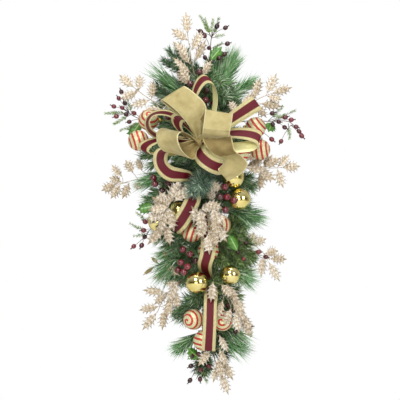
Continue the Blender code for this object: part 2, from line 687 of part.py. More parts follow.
def toothed_leaf(foot, root, tip, face, width, teeth):
    """A thin holly blade on its stalk: three-sided sections, wide at each tooth and narrow past it."""
    length = (tip - root).length
    along = (tip - root) / length
    normal = (face - face.dot(along) * along).normalized()
    side = along.cross(normal)

    def section(t, half, thickness):
        middle = root + along * (length * t) - normal * (LEAF_DROOP * length * t * t)
        back = normal * (0.25 * half)
        return [middle - side * half - back, middle + side * half - back, middle + normal * thickness]

    stalk = STALK_RADIUS / length
    rings = [[point + foot - root for point in section(-stalk, STALK_RADIUS, STALK_RADIUS)],
             section(0.0, STALK_RADIUS, LEAF_THICKNESS)]
    for k in range(teeth):
        t = (k + 0.9) / (teeth + 0.6)
        half = width / 2 * math.sin(math.pi * (0.16 + 0.66 * (k + 0.5) / teeth)) ** 0.8
        rings.append(section(t, half, LEAF_THICKNESS))
        if k < teeth - 1:
            rings.append(section(t + 0.035, half * LEAF_NOTCH, LEAF_THICKNESS))
    end = root + along * length - normal * (LEAF_DROOP * length)
    return loft(rings, end)


def nearest_on(path, place):
    return min(range(len(path)), key=lambda i: (path[i] - place).length)


# Champagne holly sprays: the spine place v, stem places, and leaves as (tip u, v, d, share of the stem)

SPRAYS = {
    "holly_spray_top": (92, [(197, 84, 56), (193, 68, 64), (190, 50, 64), (187.5, 34, 60)], [
        (186, 12.5, 58, 1.0), (172.5, 28, 62, 0.93), (173, 38, 74, 0.76), (206, 31, 72, 0.86),
        (207.5, 43, 60, 0.68), (174, 56, 66, 0.55), (176, 67, 76, 0.42), (213, 61, 74, 0.30)]),
    "holly_spray_upper_left": (120, [(180, 114, 50), (158, 104, 60), (144, 95, 66), (133.5, 87, 64)], [
        (119, 74, 62, 1.0), (139.5, 74, 70, 0.86), (154.5, 80, 60, 0.66), (120, 99, 70, 0.92),
        (129, 106, 62, 0.72), (149, 113, 88, 0.50)]),
    "holly_spray_upper_right": (120, [(226, 112, 56), (246, 106, 70), (260, 98, 74), (272, 93, 68)], [
        (293, 87, 62, 1.0), (277, 73, 70, 0.95), (261.5, 77, 62, 0.78), (282, 99, 82, 0.88),
        (283, 107, 64, 0.74), (266, 118, 60, 0.66)]),
    "holly_spray_right": (163, [(236, 166, 52), (254, 168, 66), (272, 168, 72), (282, 167.5, 68)], [
        (302, 166, 64, 1.0), (289, 154, 72, 0.88), (271, 153, 62, 0.70), (283.5, 188, 72, 0.90),
        (259.5, 190, 68, 0.60), (250, 156, 66, 0.50)]),
    "holly_spray_left": (184, [(170, 186, 48), (146, 179, 60), (130, 181, 64), (116, 185.5, 62)], [
        (101.5, 190, 60, 0.98), (111.5, 198, 70, 0.93), (123, 198, 58, 0.84), (112.5, 164, 66, 0.88),
        (123, 161, 74, 0.74), (140, 163, 60, 0.58)]),
    "holly_cluster_left": (198, [(184, 195, 50), (168, 196, 96), (163, 208, 122)], [
        (152, 199.5, 126, 1.0), (148.5, 214, 132, 1.0), (148, 226, 118, 0.92), (147, 243, 122, 0.95),
        (167, 240, 130, 0.9), (157, 234, 138, 1.0), (173, 191, 124, 0.85), (164, 193, 108, 0.80),
        (182, 203, 138, 0.8), (176, 226, 134, 0.88)]),
    "holly_cluster_centre": (206, [(213, 206, 60), (211, 212, 112), (208.5, 219, 137)], [
        (190, 208, 134, 1.0), (187.5, 221, 138, 0.95), (194, 236, 136, 1.0), (199, 203, 134, 0.9),
        (213, 202, 132, 0.9), (223, 211, 134, 0.95), (226, 226, 136, 1.0), (224, 240, 132, 0.95),
        (207, 245, 142, 1.0), (214, 230, 152, 1.0)]),
    "holly_spray_right_low": (234, [(226, 238, 50), (244, 241, 62), (258, 248, 70), (270, 260, 66)], [
        (287.5, 260, 62, 1.0), (278.5, 251, 72, 0.86), (254, 232, 62, 0.62), (280.5, 282, 68, 0.98),
        (262, 278, 70, 0.80), (267, 239, 66, 0.74)]),
    "holly_spray_left_low": (272, [(188, 275, 46), (174, 286, 60), (163, 300, 66), (157, 313, 62)], [
        (142, 331, 60, 1.0), (161, 331, 70, 0.90), (138.5, 311, 66, 0.84), (142, 289.5, 60, 0.62),
        (152, 277, 66, 0.42), (176, 305, 74, 0.60), (168, 271, 72, 0.30)]),
    "holly_chain_right": (282, [(220, 284, 60), (229, 297, 86), (239, 314, 96), (246, 328, 92)], [
        (252, 346, 88, 1.0), (233, 335, 98, 0.92), (254, 322, 100, 0.88), (226, 318, 104, 0.66),
        (248, 306, 90, 0.66), (216, 306, 112, 0.48), (240, 290, 92, 0.42), (211, 299, 132, 0.36)]),
    "holly_spray_bottom": (344, [(213, 352, 62), (216, 364, 80), (220, 375, 82)], [
        (229, 393, 80, 1.0), (214, 386, 88, 0.96), (232, 372, 74, 0.80), (198, 367, 96, 0.52),
        (204, 376, 84, 0.70), (225, 352, 90, 0.48)]),
    "olive_sprig": (258, [(184, 262, 52), (166, 263, 64), (155, 266, 66)], [
        (142.5, 276, 62, 1.0), (151, 257, 68, 0.85), (163, 250, 62, 0.66)]),
}
LEAF_SHIFTS = ((0, 0, 0), (0, 0, 7), (0, 0, -7), (2, 2, 4), (-2, -2, 4), (0, 0, 14), (0, 0, -14), (3, -3, 8),
               (-3, 3, 8), (4, 0, -10), (-4, 0, -10), (0, 4, 20), (0, -4, 20), (0, 0, 28))


def make_sprays(swag):
    champagne = paint("champagne_glitter_leaf", CHAMPAGNE, 0.5, 0.35)
    olive = paint("olive_leaf", OLIVE, 0.6)
    draw = random.Random(11)
    for name, (v, places, leaves) in SPRAYS.items():
        is_olive = name.startswith("olive")
        path, stem = plain_stem(v, places, SPRAY_STEM, 6)
        if path is None:
            print("no room for", name)
            continue
        pieces = [stem]
        blades = []
        for u, w, d, share in leaves:
            leaf = find_leaf(path, (u, w, d), share, draw, blades, is_olive)
            if leaf is None:
                print("left out a leaf of", name, u, w)
                continue
            pieces.append(leaf)
        finish_node(name, pieces, olive if is_olive else champagne, swag)


def find_leaf(path, tip_place, share, draw, blades, slim):
    """A leaf with its stalk whose tip is at the given place, or the nearest one that has room."""
    length = HOLLY_LENGTH * (0.8 if slim else 1.0)
    width = HOLLY_WIDTH * (0.4 if slim else draw.uniform(0.9, 1.08))
    lean = Vector((draw.uniform(-0.45, 0.45), -1.0, draw.uniform(-0.35, 0.45)))
    index = min(int(share * (len(path) - 1)), len(path) - 2)
    foot = path[index].lerp(path[index + 1], 0.5 if share < 1.0 else 0.9)
    for shift in LEAF_SHIFTS:
        tip = at(tip_place[0] + shift[0], tip_place[1] + shift[1], tip_place[2] + shift[2])
        reach = tip - foot
        root = tip - reach.normalized() * min(length, reach.length - 3.0 * MM)
        if any(segment_gap(root, tip, *blade) < BLADE_GAP for blade in blades):
            continue
        leaf = toothed_leaf(foot, root, tip, lean, width, 3 if slim else LEAF_TEETH)
        if is_clear(leaf):
            blades.append((root, tip))
            return leaf
        leaf.free()
    return None


# Berry picks: rosehips, fine green sprigs and a holly leaf on thin brown twigs

PICKS = {
    "rosehip_pick_top": (84, [(206, 72, 40), (210, 56, 44), (211, 40, 46), (213, 31, 46)],
        [(217, 25.5, 46), (225.5, 27, 48), (204.5, 35, 52), (200.5, 30.5, 44), (227.5, 43, 50), (209, 47.5, 56),
         (219, 57.5, 56), (224.5, 53.5, 48)],
        [(200, 17, 42), (206, 20, 50), (219, 17, 42)], (226, 47, 58)),
    "rosehip_pick_left": (128, [(176, 126, 34), (150, 122, 34), (134, 116, 40), (124, 109, 46)],
        [(121, 91.5, 46), (118.5, 98, 52), (124.5, 102.5, 42), (113.5, 106, 46), (116, 116, 48),
         (126, 114, 62), (129, 121.5, 52), (134, 113, 66)],
        [(105, 113, 42), (113, 124, 46), (127, 100, 36)], (128, 139, 46)),
    "rosehip_pick_right": (128, [(228, 124, 36), (252, 120, 40), (268, 121, 46), (288, 121, 48), (298, 129, 46)],
        [(272.5, 113, 54), (273, 124, 60), (285.5, 117, 50), (291.5, 119.5, 56), (285, 127, 46),
         (296.5, 126.5, 52), (302, 135.5, 50), (272, 139, 50), (281.5, 141, 46)],
        [(296, 110, 42), (283, 106, 44), (290, 138, 42)], (269, 131, 66)),
    "rosehip_pick_left_low": (226, [(184, 228, 44), (164, 228, 44), (150, 230, 48), (145, 238, 50)],
        [(145, 222, 54), (143.5, 230.5, 60), (144.5, 237, 42), (133.5, 246.5, 50), (141.5, 245.5, 58)],
        [(130, 224, 46), (136, 213, 44)], (138, 210, 60)),
    "rosehip_pick_right_low": (246, [(228, 250, 46), (242, 250, 54), (252, 252, 56), (262, 258, 54)],
        [(246, 243, 60), (258.5, 252, 66), (266, 257, 56), (243.5, 259, 70), (238, 252, 66)],
        [(256, 262, 48), (252, 240, 46)], (236, 246, 78)),
    "rosehip_pick_right_bottom": (304, [(224, 310, 44), (236, 322, 50), (246, 328, 52)],
        [(235.5, 331.5, 64), (250, 326.5, 54), (228, 306, 66), (231, 312, 56)],
        [(252, 336, 48), (243, 318, 46)], None),
    "rosehip_pick_bottom": (348, [(204, 356, 44), (200, 362, 50), (198, 374, 52)],
        [(192, 356.5, 56), (191, 366.5, 60), (201, 370.5, 66), (209, 367, 54), (190, 381, 56),
         (200, 380, 48)],
        [(189, 359, 46), (207, 384, 46)], (188, 348, 66)),
}
BERRY_SHIFTS = ((0, 0, 0), (0, 0, 8), (0, 0, -8), (0, 0, 16), (2, 1, 4), (-2, -1, 4), (0, 0, 26), (3, -2, -12))


def berry_solid(foot, centre, radius, sides, shape, tip):
    """A berry on its twig: one turned loft from inside the stem, through the rings of its shape."""
    out = (centre - foot).normalized()
    side = out.orthogonal().normalized()
    other = out.cross(side)

    def ring(middle, size):
        return [middle + size * (math.cos(2 * math.pi * k / sides) * side + math.sin(2 * math.pi * k / sides)
                                 * other) for k in range(sides)]

    rings = [ring(foot, TWIG_RADIUS)] + [ring(centre + out * radius * share, radius * size)
                                         for share, size in shape]
    return loft(rings, None if tip is None else centre + out * radius * tip)


ROSEHIP_SHAPE = ((-1.0, 0.13), (-0.4, 0.95), (0.55, 0.85), (1.35, 0.40))
CRANBERRY_SHAPE = ((-1.0, 0.08), (-0.50, 0.87), (0.45, 0.92))


def rosehip(foot, centre):
    """A rosehip, drawn out at its end into the crown of its calyx."""
    return berry_solid(foot, centre, ROSEHIP_RADIUS, 5, ROSEHIP_SHAPE, None)


def cranberry(foot, centre):
    return berry_solid(foot, centre, CRANBERRY_RADIUS, 6, CRANBERRY_SHAPE, 1.02)


def berry_on_twig(path, place, shape, radius, berries):
    """A berry at its place with a twig from the nearest point of the stem behind it."""
    for shift in BERRY_SHIFTS:
        centre = at(place[0] + shift[0], place[1] + shift[1], place[2] + shift[2])
        if any((centre - other).length < 1.9 * radius for other in berries):
            continue
        for step in (1, 0, 2):
            index = min(max(nearest_on(path, centre) - step, 1), len(path) - 2)
            foot = path[index].lerp(path[index + 1], 0.5)
            if (centre - foot).length < 1.6 * radius:
                continue
            berry = shape(foot, centre)
            if is_clear(berry):
                berries.append(centre)
                return berry
            berry.free()
    return None


def fern_sprig(path, place, trees):
    """A fine flat sprig: a thin straight stem with short pointed leaflets drawn out of its faces."""
    end = at(*place)
    index = min(max(nearest_on(path, end) - 1, 1), len(path) - 2)
    foot = path[index].lerp(path[index + 1], 0.3)
    reach = (end - foot).length
    line = [foot.lerp(end, (i / FERN_RINGS) ** 0.8) for i in range(FERN_RINGS + 1)]
    sprig = stem_solid(line, taper(0.9 * MM, 0.7 * MM, len(line)), 3)
    if not is_clear(sprig, trees):
        sprig.free()
        return None
    draw = random.Random(int(place[0] * 7 + place[1]))
    draw_needles(sprig, (end - foot) / reach, foot.lerp(end, 0.35), reach * 0.65, 10.0 * MM, 46.0, draw, trees)
    return sprig


def make_picks(swag):
    brown = paint("rosehip_pick", ROSEHIP, 0.35)
    for name, (v, places, berries, ferns, leaf_tip) in PICKS.items():
        path, stem = plain_stem(v, places, PICK_STEM, 6)
        if path is None:
            print("no room for", name)
            continue
        pieces = [stem]
        centres = []
        for place in berries:
            berry = berry_on_twig(path, place, rosehip, ROSEHIP_RADIUS, centres)
            if berry is None:
                print("left out a berry of", name, place)
                continue
            pieces.append(berry)
        if leaf_tip:
            draw = random.Random(5)
            leaf = find_leaf(path, leaf_tip, 0.72, draw, [], False)
            if leaf:
                pieces.append(leaf)
        trees = [tree_of(piece, 0.0) for piece in pieces[1:]]
        for place in ferns:
            sprig = fern_sprig(path, place, trees)
            if sprig:
                trees.append(tree_of(sprig, 0.0))
                pieces.append(sprig)
        finish_node(name, pieces, brown, swag)


# Bunches of glossy cranberries

BUNCHES = {
    "cranberries_top": (104, [(206, 98, 62), (206, 92, 84)],
        [(190.5, 84, 96), (199.5, 72, 92), (205.5, 100, 92), (213.5, 104, 74), (207, 90, 76)]),
    "cranberries_left": (190, [(184, 192, 60), (166, 188, 92)],
        [(155, 184, 112), (153.5, 178, 98), (168.5, 183.5, 106), (162, 191, 112), (176, 186, 96)]),
    "cranberries_right": (190, [(214, 194, 62), (222, 196, 100)],
        [(225, 187, 122), (220, 197, 128), (234, 200.5, 128), (225.5, 210, 126), (227, 197, 116)]),
    "cranberries_low": (262, [(198, 262, 62), (188, 262, 88)],
        [(181, 262.5, 106), (187.5, 266.5, 112), (184, 272, 108), (196, 261, 100), (183, 249.5, 100),
         (190, 254, 106), (178, 270, 94)]),
    "cranberries_bow": (116, [(190, 118, 58), (178, 119, 84)],
        [(180, 112, 100), (175, 124, 104), (168, 117, 96), (187, 123, 98)]),
}


def make_bunches(swag):
    red = paint("cranberry_gloss", CRANBERRY, 0.12)
    for name, (v, places, berries) in BUNCHES.items():
        path, stem = plain_stem(v, places, BUNCH_STEM, 5)
        if path is None:
            print("no room for", name)
            continue
        pieces = [stem]
        centres = []
        for place in berries:
            berry = berry_on_twig(path, place, cranberry, CRANBERRY_RADIUS, centres)
            if berry is None:
                print("left out a cranberry of", name, place)
                continue
            pieces.append(berry)
        finish_node(name, pieces, red, swag)


# Evergreen branches: twigs as (spine place v, first and last needled place, needle length, spread)

BRANCHES = {
    "pine_centre": (GREEN_BLUE, [
        (170, [(206, 174, 96), (200, 187, 144)], 30, 60)]),
    "pine_upper_left": (GREEN_DARK, [
        (88, [(191, 82, 22), (169, 50, 27)], 25, 42),
        (98, [(186, 94, 24), (166, 79, 36)], 70, 24),
        (108, [(188, 104, 22), (157, 94, 34)], 34, 38)]),
    "pine_upper_right": (GREEN_MID, [
        (94, [(212, 90, 22), (234, 57, 28)], 40, 30),
        (104, [(216, 99, 24), (243, 86, 36)], 44, 34)]),
    "pine_left": (GREEN_MID, [
        (152, [(182, 152, 22), (144, 156, 40)], 34, 38),
        (172, [(180, 174, 28), (148, 178, 50)], 60, 20),
        (200, [(182, 196, 24), (147, 204, 42)], 36, 36)]),
    "pine_right": (GREEN_MID, [
        (152, [(222, 150, 22), (246, 142, 34)], 40, 40),
        (176, [(224, 180, 22), (258, 184, 34)], 28, 44),
        (212, [(222, 210, 26), (244, 213, 44)], 76, 20)]),
    "pine_right_low": (GREEN_DARK, [
        (242, [(220, 250, 26), (247, 276, 44)], 36, 44),
        (292, [(218, 294, 22), (243, 303, 34)], 28, 44)]),
    "pine_left_low": (GREEN_MID, [
        (244, [(190, 250, 24), (168, 262, 46)], 56, 24),
        (304, [(194, 306, 24), (173, 326, 40)], 36, 36),
        (226, [(188, 230, 22), (160, 242, 34)], 34, 42)]),
    "pine_bottom_left": (GREEN_DARK, [
        (332, [(197, 336, 28), (178, 350, 42)], 38, 46),
        (346, [(206, 356, 22), (203, 376, 32)], 28, 44)]),
    "pine_bottom_right": (GREEN_MID, [
        (322, [(216, 326, 26), (240, 342, 42)], 56, 28),
        (340, [(216, 344, 22), (231, 355, 30)], 40, 34)]),
}
NEEDLE_SIDES = 4
RING_STEP = 10.5 * MM
PROBE_START = 0.01
NEEDLE_SIZES = (1.0, 0.75, 0.55, 0.38, 0.25)
CORE_RADIUS = 1.9 * MM


def segment_gap(a, b, c, d):
    """The smallest distance from sample points of segment a-b to segment c-d, both past their roots."""
    line = d - c
    size = line.length_squared
    best = 1.0
    for i in range(2, 9):
        point = a.lerp(b, i / 8)
        share = min(max((point - c).dot(line) / size, 0.2), 1.0)
        best = min(best, (point - c - line * share).length)
    return best


def draw_needles(branch, along, first, reach, length, spread, draw, others=()):
    """Draw the faces of a straight core past its first point out into needles, wider near the base."""
    bmesh.ops.triangulate(branch, faces=branch.faces)
    jobs = []
    for face in branch.faces:
        middle = face.calc_center_median()
        share = (middle - first).dot(along) / reach
        radial = face.normal - along * face.normal.dot(along)
        if share > 0.0 and radial.length > 0.5:
            jobs.append((face, middle, share, radial.normalized()))
    for face, middle, share, radial in jobs:
        wanted = length * draw.uniform(0.78, 1.08) * (1.0 - 0.2 * share)
        lean = math.radians(spread * (1.15 - 0.4 * share))
        way = along * math.cos(lean) + radial * math.sin(lean)
        corners = [vert.co.copy() for vert in face.verts]
        for size in NEEDLE_SIZES:
            tip = middle + way * wanted * size
            if tip.y > -2.0 * MM:
                continue
            probe = loft([[corner.lerp(tip, PROBE_START) for corner in corners]], tip)
            free = is_clear(probe, others)
            probe.free()
            if free:
                poked = bmesh.ops.poke(branch, faces=[face])
                poked["verts"][0].co = tip
                break


def ring_count(reach):
    return max(round(reach / RING_STEP), 3)


def needle_core(path):
    """The slim core of a twig: curved from its foot to the first place, then straight and finely ringed."""
    first, last = path[-2], path[-1]
    rings = ring_count((last - first).length)
    bare = smooth_path(path[:-1] + [last], 3 * len(path) - 2)[:3 * (len(path) - 2)]
    line = bare[::2] + [first.lerp(last, i / rings) for i in range(rings + 1)]
    return stem_solid(line, taper(CORE_RADIUS, CORE_RADIUS * 0.75, len(line)), NEEDLE_SIDES)


def route_twigs(name, twigs):
    """The clear cores of a branch's twigs; side twigs start inside the first one's bare part."""
    routes = []
    for v, places, length, spread in twigs:
        if routes:
            starts = [routes[0][0][0].lerp(routes[0][0][1], share) for share in SIDE_STARTS]
            paths = [[start] + points for start in starts for points in bent_places(places)]
        else:
            paths = spine_starts(v, places, CORE_RADIUS)
        path, core = first_clear(paths, needle_core)
        if path is None:
            print("no room for a twig of", name, v)
            continue
        routes.append((path, core, length * MM, spread))
    return routes


def make_branches(swag):
    for name, (colour, twigs) in BRANCHES.items():
        draw = random.Random(len(name) * 3 + int(twigs[0][0]))
        routes = route_twigs(name, twigs)
        trees = [tree_of(core, 0.0) for _, core, _, _ in routes]
        for number, (path, core, length, spread) in enumerate(routes):
            first, last = path[-2], path[-1]
            reach = (last - first).length
            others = trees[:number] + trees[number + 1:]
            start = first.lerp(last, 0.9 / ring_count(reach))
            draw_needles(core, (last - first) / reach, start, reach, length, spread, draw, others)
            trees[number] = tree_of(core, 0.0)
        finish_node(name, [core for _, core, _, _ in routes], paint(name + "_green", colour, 0.6), swag)


def main():
    for thing in list(bpy.data.objects):
        bpy.data.objects.remove(thing, do_unlink=True)
    swag = bpy.data.collections.new("christmas_door_swag")
    bpy.context.scene.collection.children.link(swag)
    make_spine(swag)
    make_hanger(swag)
    make_gold_bow(swag)
    make_burgundy_bow(swag)
    make_centre_tail(swag)
    make_bow_wire(swag)
    keep_hook_room()
    make_balls(swag)
    make_bunches(swag)
    make_sprays(swag)
    make_picks(swag)
    make_branches(swag)


main()
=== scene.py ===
import math
import random

import bpy
import numpy as np
from mathutils import Matrix, Vector
from mathutils.bvhtree import BVHTree


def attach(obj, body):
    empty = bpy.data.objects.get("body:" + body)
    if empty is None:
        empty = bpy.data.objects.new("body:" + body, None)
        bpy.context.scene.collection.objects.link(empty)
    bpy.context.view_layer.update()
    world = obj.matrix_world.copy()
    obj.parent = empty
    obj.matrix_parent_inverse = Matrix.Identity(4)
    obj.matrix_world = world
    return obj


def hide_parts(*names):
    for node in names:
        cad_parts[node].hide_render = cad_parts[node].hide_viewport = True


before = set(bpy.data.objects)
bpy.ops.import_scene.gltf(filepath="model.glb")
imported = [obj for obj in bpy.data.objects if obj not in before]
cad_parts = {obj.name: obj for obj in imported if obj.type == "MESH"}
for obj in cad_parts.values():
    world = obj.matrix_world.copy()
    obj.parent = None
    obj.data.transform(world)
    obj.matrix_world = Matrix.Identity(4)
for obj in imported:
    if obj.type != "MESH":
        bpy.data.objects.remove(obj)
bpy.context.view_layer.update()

# The camera looks straight at the front of the swag from nine metres, so near and far foliage keep one
# scale. Places are (u, v, d): u right and v down in the front view, and d in millimetres out from the door.
MM = 0.001
GRID = 0.0024
HANG_U, HANG_V = 203.0, 75.0
CAMERA_OUT, CAMERA_LENS = 9090.0, 337.5


def at(u, v, d):
    """A place in the front view as a world point."""
    return Vector(((u - HANG_U) * GRID, -d * MM, (HANG_V - v) * GRID))


def aim(u, v, d):
    """A direction in the front view's axes as a unit vector."""
    return Vector((u, -d, -v)).normalized()


def in_scene(name, data):
    """A new object of the scene that holds the data."""
    thing = bpy.data.objects.new(name, data)
    bpy.context.scene.collection.objects.link(thing)
    return thing


camera_data = bpy.data.cameras.new("studio_camera")
camera_data.sensor_width = 36.0
camera_data.lens = CAMERA_LENS
camera_data.clip_end = 60.0
camera = in_scene("studio_camera", camera_data)
camera.location = at(200.0, 200.0, CAMERA_OUT)
camera.rotation_euler = (math.pi / 2, 0.0, 0.0)
bpy.context.scene.camera = camera
bpy.context.scene.view_settings.view_transform = "Standard"

# The studio: a white sweep behind the swag, a darker room behind the camera, and soft light from four
# panes that stand together like a window, a wide fill on the right and a strip overhead.
MIDDLE = Vector((0.0, -0.1, -0.3))


def linear(colour):
    """An sRGB hex colour as linear RGBA."""
    parts = [int(colour[i:i + 2], 16) / 255 for i in (1, 3, 5)]
    return [part / 12.92 if part <= 0.04045 else ((part + 0.055) / 1.055) ** 2.4 for part in parts] + [1.0]


def socket(value):
    """A node's main output, or the socket or plain value as it is."""
    if isinstance(value, bpy.types.Node):
        return value.outputs[2 if value.bl_idname == "ShaderNodeMix" else 0]
    return value


def add(tree, kind, inputs=None, stops=None, **settings):
    """A node with its settings. An input given a node or a socket is linked, and any other is set."""
    made = tree.nodes.new("ShaderNode" + kind)
    for key, value in settings.items():
        setattr(made, key, value)
    for key, value in (inputs or {}).items():
        value = socket(value)
        if isinstance(value, bpy.types.NodeSocket):
            tree.links.new(value, made.inputs[key])
        else:
            made.inputs[key].default_value = value
    if stops:
        band = made.color_ramp
        band.elements[0].position, band.elements[1].position = stops[0][0], stops[-1][0]
        for place, _ in stops[1:-1]:
            band.elements.new(place)
        for element, (_, colour) in zip(band.elements, stops):
            element.color = linear(colour)
    return made


def ramp(tree, value, *stops):
    """A value run through colours, each at its own stop."""
    return add(tree, "ValToRGB", {"Fac": value}, stops=stops)


def blend(tree, share, under, over, **settings):
    """A share of one colour laid over another. The one above may be a plain hex colour."""
    over = linear(over) if isinstance(over, str) else over
    return add(tree, "Mix", {0: share, 6: under, 7: over}, data_type="RGBA", **settings)


def clouds(tree, scale, detail):
    """Noise on the piece's own coordinates."""
    place = add(tree, "TexCoord").outputs["Object"]
    return add(tree, "TexNoise", {"Vector": place, "Scale": scale, "Detail": detail})


def surface(name, settings):
    """A new material with its tree and main shader, the shader's plain sockets set."""
    material = bpy.data.materials.new(name)
    material.use_nodes = True
    shader = material.node_tree.nodes["Principled BSDF"]
    for key, value in settings.items():
        shader.inputs[key].default_value = value
    return material, material.node_tree, shader


def dress(tree, shader, colour, height=None, strength=0.0, distance=0.0):
    """Give the shader its colour and, from a height, its relief."""
    tree.links.new(socket(colour), shader.inputs["Base Color"])
    if height is not None:
        relief = add(tree, "Bump", {"Height": height, "Strength": strength, "Distance": distance})
        tree.links.new(relief.outputs[0], shader.inputs["Normal"])


def clouded(name, settings, scale, detail, *stops, relief=(), rough=()):
    """A finish with one noise that runs its colour and, where they are given, its relief and roughness."""
    material, tree, shader = surface(name, settings)
    noise = clouds(tree, scale, detail)
    dress(tree, shader, ramp(tree, noise, *stops), *((noise, *relief) if relief else ()))
    if rough:
        wear = add(tree, "MapRange", {"Value": noise, "To Min": rough[0], "To Max": rough[1]})
        tree.links.new(wear.outputs[0], shader.inputs["Roughness"])
    return material


def shape(primitive, **settings):
    """A new mesh primitive, selected alone."""
    bpy.ops.object.select_all(action="DESELECT")
    primitive(**settings)
    return bpy.context.object


def softbox(name, place, size, power):
    lamp = bpy.data.lights.new(name, "AREA")
    lamp.shape = "RECTANGLE"
    lamp.size, lamp.size_y = size
    lamp.energy = power
    holder = in_scene(name, lamp)
    holder.location = place
    holder.rotation_euler = (MIDDLE - Vector(place)).to_track_quat("-Z", "Y").to_euler()


world = bpy.data.worlds.new("studio")
bpy.context.scene.world = world
world.use_nodes = True
tree = world.node_tree
way = add(tree, "SeparateXYZ", {0: add(tree, "TexCoord").outputs["Generated"]})
rise = add(tree, "MapRange", {"Value": way.outputs["Z"], "From Min": -1.0, "From Max": 1.0})
room = ramp(tree, rise, (0.0, "#C9C2B4"), (0.42, "#A8A294"), (0.49, "#6A655A"), (0.54, "#5C5952"),
            (0.62, "#A9AAAA"), (1.0, "#EEF0F2"))
behind = add(tree, "MapRange", {"Value": way.outputs["Y"], "From Min": -0.25, "From Max": 0.55})
dim = add(tree, "Background", {"Color": blend(tree, behind, room, "#F2F1EE"), "Strength": 0.66})
white = add(tree, "Background", {"Color": (1.0, 1.0, 1.0, 1.0), "Strength": 1.0})
seen = add(tree, "MixShader", {0: add(tree, "LightPath").outputs["Is Camera Ray"], 1: dim, 2: white})
tree.links.new(seen.outputs[0], tree.nodes["World Output"].inputs["Surface"])

for column in range(2):
    for row in range(2):
        softbox(f"window_pane_{column}{row}", (-1.25 + 0.85 * column, -3.7 + 0.35 * row, 1.55 + 0.75 * row),
                (0.68, 0.60), 21.0)
softbox("right_fill", (2.7, -3.0, 0.5), (1.5, 1.9), 40.0)
softbox("front_fill", (-0.5, -5.2, -0.5), (2.2, 1.6), 38.0)
softbox("overhead_strip", (0.0, -0.9, 2.5), (1.6, 0.7), 30.0)

floor = shape(bpy.ops.mesh.primitive_plane_add, size=5.0, location=(0.0, 0.0, -0.95))
floor.name = "studio_floor"
# Matt painted board, pale and nearly even.
floor.data.materials.append(clouded("painted_board", {"Roughness": 0.8}, 3.0, 2.0, (0.3, "#E9E8E5"),
                                    (0.7, "#EFEEEC")))

# The spine is the bundle of green-wrapped wire stems that everything is tied to, a crinkled floral tape
# wound round and round it. It wanders a little on its way down, and is seen from the back and sides.
SPINE_RADIUS = 8.0 * MM
SPINE_DEPTH = 26.0
SPINE_TOP_V, SPINE_END_V = 66.0, 352.0
SEAT_GAP = 0.5 * MM
TAPE_PITCH = 6.5 * MM
SPINE_STEPS = 200


def select_only(*things):
    """Select these objects alone, with the first one active."""
    bpy.ops.object.select_all(action="DESELECT")
    for thing in things:
        thing.select_set(True)
    bpy.context.view_layer.objects.active = things[0]


def stand_in(piece, node):
    """The piece takes the place of its CAD node and hangs on the swag's one body."""
    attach(piece, "root")
    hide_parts(node)


def spine_centre(v):
    share = (v - SPINE_TOP_V) / (SPINE_END_V - SPINE_TOP_V)
    return at(203.0 + 1.2 * math.sin(5.0 * share) + 4.0 * share, v, SPINE_DEPTH)


def spine_seat(v, direction, stem_radius):
    """Where a stem that is bound to the spine starts, and a step further out."""
    flat = Vector((direction.x, direction.y, 0.0)).normalized()
    start = spine_centre(v) + flat * (SPINE_RADIUS + SEAT_GAP)
    return start, start + flat * (6.0 * MM + stem_radius)


spine = shape(bpy.ops.mesh.primitive_circle_add, vertices=24, radius=SPINE_RADIUS * 0.96, fill_type="NGON",
              location=spine_centre(SPINE_TOP_V))
spine.name = "wrapped_stem_bundle"
bpy.ops.object.transform_apply()
bpy.ops.object.mode_set(mode="EDIT")
bpy.ops.mesh.select_mode(type="FACE")
for step in range(SPINE_STEPS):
    before, after = (SPINE_TOP_V + (SPINE_END_V - SPINE_TOP_V) * end / SPINE_STEPS for end in (step, step + 1))
    bpy.ops.mesh.extrude_region_move(
        TRANSFORM_OT_translate={"value": spine_centre(after) - spine_centre(before)})
bpy.ops.mesh.select_all(action="SELECT")
bpy.ops.mesh.normals_make_consistent(inside=False)
bpy.ops.object.mode_set(mode="OBJECT")
for vertex in spine.data.vertices:
    middle = spine_centre(HANG_V - vertex.co.z / GRID)
    out = vertex.co - middle
    turn = math.atan2(out.y, out.x)
    wrap = (vertex.co.z / TAPE_PITCH + turn / (2 * math.pi)) % 1.0
    lumps = 0.035 * math.cos(6 * turn + 40 * vertex.co.z) + 0.02 * math.sin(90 * vertex.co.z + 2 * turn)
    vertex.co = middle + out * (0.97 + lumps + 0.05 * wrap)
select_only(spine)
bpy.ops.object.shade_smooth_by_angle(angle=math.radians(40))

# Waxed crepe floral tape: matt dark green, with fine crinkles about 0.8 mm apart across its width.
tape, tree, shader = surface("waxed_floral_tape", {"Roughness": 0.62, "Specular IOR Level": 0.35})
green = ramp(tree, clouds(tree, 70.0, 4.0), (0.3, "#22301D"), (0.55, "#34472B"), (0.75, "#4A5E38"))
drawn = add(tree, "Mapping", {"Vector": add(tree, "TexCoord").outputs["Object"], "Scale": (1.0, 1.0, 3.5)})
crinkle = add(tree, "TexNoise", {"Vector": drawn, "Scale": 380.0, "Detail": 2.0})
dress(tree, shader, green, crinkle, 0.5, 0.0006)
spine.data.materials.append(tape)
stand_in(spine, "spine")

# The hanger is a ring of plain steel wire that goes over the door hook, its two ends twisted together
# and bound down the back of the spine.
HANGER_INNER = 17.0
HANGER_WIRE_RADIUS = 1.2 * MM
HANGER_BACK = 5.0 * MM


